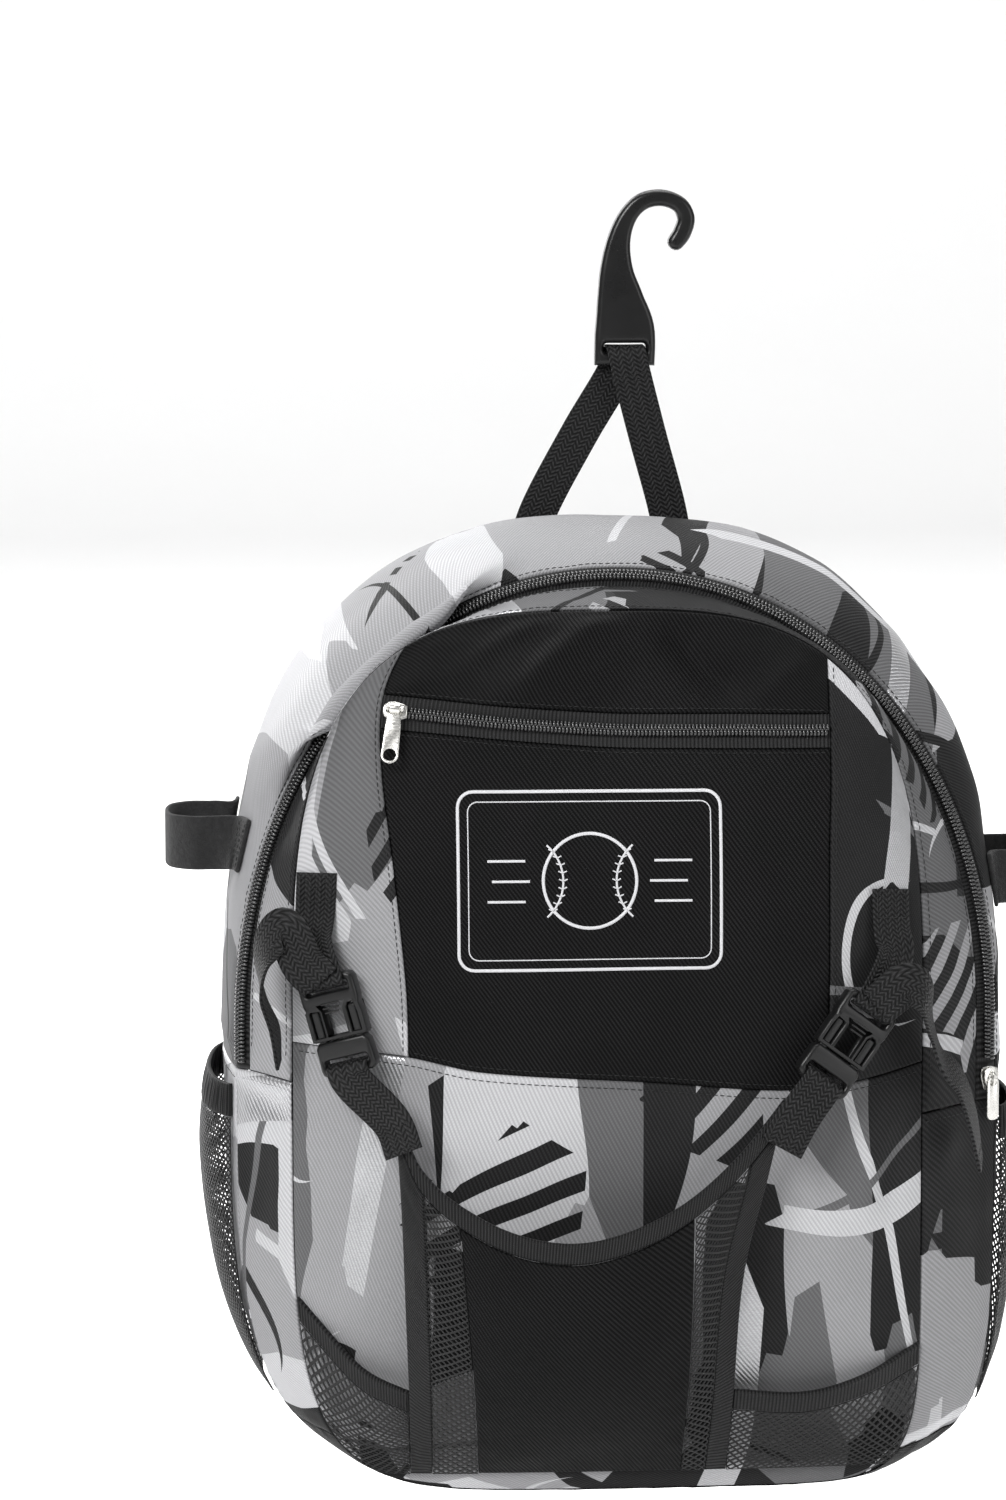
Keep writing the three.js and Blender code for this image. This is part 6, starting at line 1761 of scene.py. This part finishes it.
def carrying_strap(name, side):
    def across(spread):
        return BAG_OFFSET + side * PAD_SPREAD * spread
    top = up_bag(PAD_TOP)
    seat = REST_GAP + PAD_THICKNESS / 2
    low = top - PAD_LENGTH
    rows = [(0.85, seat, top, 1, 0), (0.9, seat + 4, top - PAD_LENGTH * 0.07, 1, 0.5),
            (1.05, PAD_BOW * 0.75, top - PAD_LENGTH * 0.25, 1, 0.5),
            (1.3, PAD_BOW, top - PAD_LENGTH * 0.5, 1, 0),
            (1.7, PAD_BOW * 0.8, top - PAD_LENGTH * 0.77, 1, -0.3), (2.1, PAD_BOW * 0.5, low, 1, -0.4)]
    route = [stop(across(a), y, z, (0, fy, fz)) for a, y, z, fy, fz in rows]
    pad, frames = band("shoulder_pad_" + name + "_cover", route, PAD_WIDTH, PAD_THICKNESS, PAD_CLOTH,
                       ["shoulder_pad_" + name], 2.2, shape=pad_section(), wave=0.4)
    p, tangent, sideways, out, _ = frames
    for edge_side, edge in ((-1, "_edge_a"), (1, "_edge_b")):
        mid = p + sideways * (edge_side * (PAD_WIDTH / 2 - 0.6))
        inset = p + sideways * (edge_side * (PAD_WIDTH / 2 - 6))
        stitches.run(DARK_THREAD, inset + out * (PAD_THICKNESS / 2 * 0.62), out)
        pick = np.linspace(0, len(p) - 1, 14).astype(int)
        band("shoulder_pad_" + name + edge, [(mid[k], out[k]) for k in pick], 6.0, 5.0, RIBBED, [],
             2.0)
    pad_end = p[-1]
    down = tangent[-1]
    cross = unit(np.cross(down, np.array([0, 1, 0])))
    facing = unit(np.cross(cross, down))
    place = pad_end + down * (REST_GAP + ADJUSTER_HEIGHT / 2)
    m = basis(cross, -down, -facing, place)
    hole = [rounded(SHOULDER_WEBBING + 1, 5, 1.6, 0, k * 8) for k in (-1, 1)]
    ladder = plate_mesh([rounded(SHOULDER_WEBBING + 9, ADJUSTER_HEIGHT, 4), *hole], ADJUSTER, 1.3, 3)
    from_bmeshes("adjuster_" + name + "_body", [ladder], m, PLASTIC, ["adjuster_" + name])
    foot = np.array([across_bag(side * 0.72), REST_GAP + 1, up_bag(0.1)])
    under = pad_end + down * (REST_GAP + ADJUSTER_HEIGHT - 1)
    lap = ADJUSTER / 2 + REST_GAP + WEBBING_WALL / 2
    back = np.array([0, 1, 0])
    strap = [(under + facing * lap - down * 12, facing), (under + facing * lap + down * 2, facing),
             ((under + foot) / 2 + np.array([0, -3, 0]), back), (foot + np.array([-side * 6, 1.5, 14]), back),
             (foot, back)]
    web("shoulder_webbing_" + name, strap, SHOULDER_WEBBING, 1.6)


carrying_strap("left", -1)
carrying_strap("right", 1)


# Plain printed emblem on the black panel: a frame round a ball with two seams
def ribbon_on_face(points, width, closed):
    """Thin printed line on the black panel, as places and quads."""
    points = np.asarray(points, float)
    nxt = np.roll(points, -1, 0)
    prv = np.roll(points, 1, 0)
    if not closed:
        nxt[-1], prv[0] = 2 * points[-1] - points[-2], 2 * points[0] - points[1]
    d = nxt - prv
    d = d / np.linalg.norm(d, axis=1, keepdims=True)
    side = np.stack([-d[:, 1], d[:, 0]], -1) * width / 2
    count = len(points)
    panel = panels["face_center"]
    layers = []
    for lift in (0.12, -0.15):
        for s in (-1, 1):
            place = points + side * s
            x, z = place[:, 0], place[:, 1]
            n = face_normal(x, z)
            base = face_point(x, z)
            rise = panel.swells(base) + creases_at(base)
            layers.append(base + n * (rise + lift)[:, None])
    verts = np.concatenate(layers)
    i = np.arange(count if closed else count - 1)
    i2 = (i + 1) % count
    corners = ((0, 1), (3, 2), (1, 3), (2, 0))
    quads = [np.stack([i + a * count, i2 + a * count, i2 + b * count, i + b * count], -1) for a, b in corners]
    return verts, np.concatenate(quads)


BALL, SEAM_OFF, FRAME_WIDTH, FRAME_HEIGHT = 21, 33, 118, 79


def emblem():
    cx, cz = across_bag(-0.085), up_bag(0.655)
    parts = []

    def densify(points, step=1.2):
        pts = np.array(points, float)
        out = []
        for a, b in zip(pts, np.roll(pts, -1, 0)):
            n = max(1, int(np.linalg.norm(b - a) / step))
            out += [a + (b - a) * k / n for k in range(n)]
        return out

    def seam_place(s, a):
        return cx + s * (SEAM_OFF - BALL * math.cos(a)), cz + BALL * math.sin(a)
    parts.append((densify(rounded(FRAME_WIDTH, FRAME_HEIGHT, 7, cx, cz)), 1.4, True))
    parts.append((densify(rounded(FRAME_WIDTH - 9, FRAME_HEIGHT - 9, 4.5, cx, cz)), 0.5, True))
    circle = np.linspace(0, TAU, 97)[:-1]
    parts.append(([(cx + BALL * math.cos(a), cz + BALL * math.sin(a)) for a in circle], 1.4, True))
    rise = 0.9
    for s in (-1, 1):
        parts.append(([seam_place(s, a) for a in np.linspace(-0.86, 0.86, 40)], 0.9, False))
        for a in np.linspace(-0.68, 0.68, 9):
            x, z = seam_place(s, a)
            parts.append(([(x - s * 1.9, z + rise), (x, z), (x + s * 1.9, z + rise)], 0.6, False))
        for k in (-1, 0, 1):
            bar = [(cx + s * (27 + k * k * 2 + q * 17 / 6), cz + k * 9) for q in range(7)]
            parts.append((bar, 1.1, False))
    verts, quads, start = [], [], 0
    for points, width, closed in parts:
        v, q = ribbon_on_face(points, width, closed)
        verts.append(v)
        quads.append(q + start)
        start += len(v)
    make("emblem_print", np.concatenate(verts), np.concatenate(quads)[:, ::-1], INK)


emblem()
stitches.build()

# Takes a plate's x, y and z to y, z and x
TURNED = Matrix(((0, 0, 1, 0), (1, 0, 0, 0), (0, 1, 0, 0), (0, 0, 0, 1)))


def circle_points(radius, count, cy=0.0):
    turns = np.linspace(0, TAU, count, endpoint=False)
    return [(radius * math.cos(a), cy + radius * math.sin(a)) for a in turns]


def pocket_slider():
    """Slider of the pocket zip with its pin, and the pull plate that hangs on the pin and swings about it."""
    x = meeting(seam_left, zip_line)[0] + SEAM_GAP + SLIDER_LENGTH / 2 + REST_GAP
    seat, n = face_point(x, zip_line(x)), face_normal(np.array(x), np.array(zip_line(x)))
    across = unit(face_point(x + 1, zip_line(x + 1)) - face_point(x - 1, zip_line(x - 1)))
    up = np.cross(n, across)
    pivot = REST_GAP + SLIDER_THICKNESS + COIL_HEIGHT + PIVOT_GAP + PIVOT + PIVOT_GAP + EYE_WALL
    m = basis(across, up, n, seat)
    half = SLIDER_LENGTH / 2
    upper = [(half, 2.4), (half - 2.2, 3.3), (-0.6, 4.0), (-half + 2.4, 3.6), (-half + 0.7, 2.4),
             (-half, 1.0)]
    outline = [(half, -2.4)] + upper + [(x, -y) for x, y in upper[:0:-1]]
    top = REST_GAP + COIL_HEIGHT + SLIDER_THICKNESS
    plate = shifted_bmesh(plate_mesh([outline], 1.5, 0.6, 4), z=top - 0.75)
    under = shifted_bmesh(plate_mesh([outline], 1.2, 0.4), z=REST_GAP + 0.6)
    wedge = shifted_bmesh(plate_mesh([rounded(2.6, 2.6, 1.0)], 3.0, 0.3), x=-half + 2.4, z=REST_GAP + 2.0)
    parts = [plate, under, wedge]
    lug = [(-1.7, -2.2), (1.7, -2.2), (1.5, 1.2), (0.9, 2.1), (0.0, 2.5), (-0.9, 2.1), (-1.5, 1.2)]
    for s in (-1, 1):
        cheek = plate_mesh([lug], 1.2, 0.35)
        cheek.transform(TURNED)
        parts.append(shifted_bmesh(cheek, x=s * 3.45, z=pivot - 0.4))
    parts.append(tube_bmesh([(-3.8, 0, pivot), (3.8, 0, pivot)], PIVOT, 16))
    from_bmeshes("pocket_slider_body", parts, m, NICKEL, ["pocket_slider"])

    eye = PIVOT + PIVOT_GAP + EYE_WALL
    thick = PULL_THICKNESS
    neck, top = 2.4, -eye - 0.2
    low = -PULL_LENGTH + eye - 0.6
    body_w, hole_z = PULL_WIDTH / 2, low + PULL_WIDTH / 2
    shape = [(neck, 0.0), (neck, top + 0.3), (3.1, top - 1.6), (3.5, top - 5)]
    for a in np.linspace(0, -math.pi, 19):
        shape.append((body_w * math.cos(a), hole_z + body_w * math.sin(a)))
    shape += [(-3.5, top - 5), (-3.1, top - 1.6), (-neck, top + 0.3), (-neck, 0.0)]
    hole = circle_points(PULL_HOLE / 2, 28, hole_z)
    tab = shifted_bmesh(plate_mesh([shape, hole], thick, 0.45, 4), z=pivot - eye + thick / 2)
    knuckle = plate_mesh([circle_points(eye, 28), circle_points(PIVOT + PIVOT_GAP, 20)], 2 * neck, 0.4, 3)
    knuckle.transform(TURNED)
    knuckle = shifted_bmesh(knuckle, z=pivot)
    from_bmeshes("pocket_pull_tab", [tab, knuckle], m, NICKEL, ["pocket_pull"], "zip_pull")


pocket_slider()


# Floor, backdrop, light and camera, in metres
def stage():
    me = bpy.data.meshes.new("floor")
    half, low, radius, back, tall = 9.0, -0.72, 1.5, 7.0, 6.0
    profile = [(-half, low), (back - radius, low)]
    for a in np.linspace(0, math.pi / 2, 13)[1:]:
        profile.append((back - radius + radius * math.sin(a), low + radius - radius * math.cos(a)))
    profile.append((back, tall))
    verts = [(x, y, z) for x in (-half, half) for y, z in profile]
    n = len(profile)
    me.from_pydata(verts, [], [(i, i + n, i + n + 1, i + 1) for i in range(n - 1)])
    me.polygons.foreach_set("use_smooth", [True] * len(me.polygons))
    ob = bpy.data.objects.new("floor", me)
    bpy.context.scene.collection.objects.link(ob)
    look = Look("floor_paint", Roughness=0.9)
    look.colour(look.mix(look.noise(look.place, 3.0), (0.93, 0.93, 0.93, 1), (0.95, 0.95, 0.95, 1)))
    me.materials.append(look.mat)


def light(name, place, aim, size, power):
    lamp = bpy.data.lights.new(name, "AREA")
    lamp.shape = "RECTANGLE"
    lamp.size, lamp.size_y = size
    lamp.energy = power
    ob = bpy.data.objects.new(name, lamp)
    bpy.context.scene.collection.objects.link(ob)
    ob.location = place
    ob.rotation_mode = "QUATERNION"
    ob.rotation_quaternion = (Vector(aim) - Vector(place)).to_track_quat("-Z", "Y")


stage()
light("key", (-1.5, -2.3, 1.3), (-0.03, 0, -0.35), (1.2, 1.2), 80)
light("fill", (1.9, -1.9, 0.1), (-0.03, 0, -0.35), (1.4, 2.0), 20)
light("top", (0.1, 0.2, 1.6), (-0.03, 0, -0.3), (1.4, 1.2), 24)
light("rim", (-1.0, 1.6, 0.5), (-0.03, 0, -0.35), (0.8, 1.6), 20)
light("far_floor", (0, 1.2, 1.9), (0, 4.0, -0.7), (5.0, 1.2), 230)
bpy.context.scene.view_settings.view_transform = "Standard"
world = bpy.data.worlds.new("studio")
bpy.context.scene.world = world
world.use_nodes = True
world.node_tree.nodes["Background"].inputs["Color"].default_value = (1, 1, 1, 1)
world.node_tree.nodes["Background"].inputs["Strength"].default_value = 0.3

camera = bpy.data.cameras.new("camera")
camera.sensor_width = 36
camera.lens = 138.67
camera.clip_end = 50
eye = bpy.data.objects.new("camera", camera)
bpy.context.scene.collection.objects.link(eye)
eye.location = (-0.26443, -2.71581, 0.12534)
turn, tilt = math.radians(-4), math.radians(8)
away = Vector((math.sin(turn) * math.cos(tilt), -math.cos(turn) * math.cos(tilt), math.sin(tilt)))
eye.rotation_mode = "QUATERNION"
eye.rotation_quaternion = (-away).to_track_quat("-Z", "Y")
bpy.context.scene.camera = eye
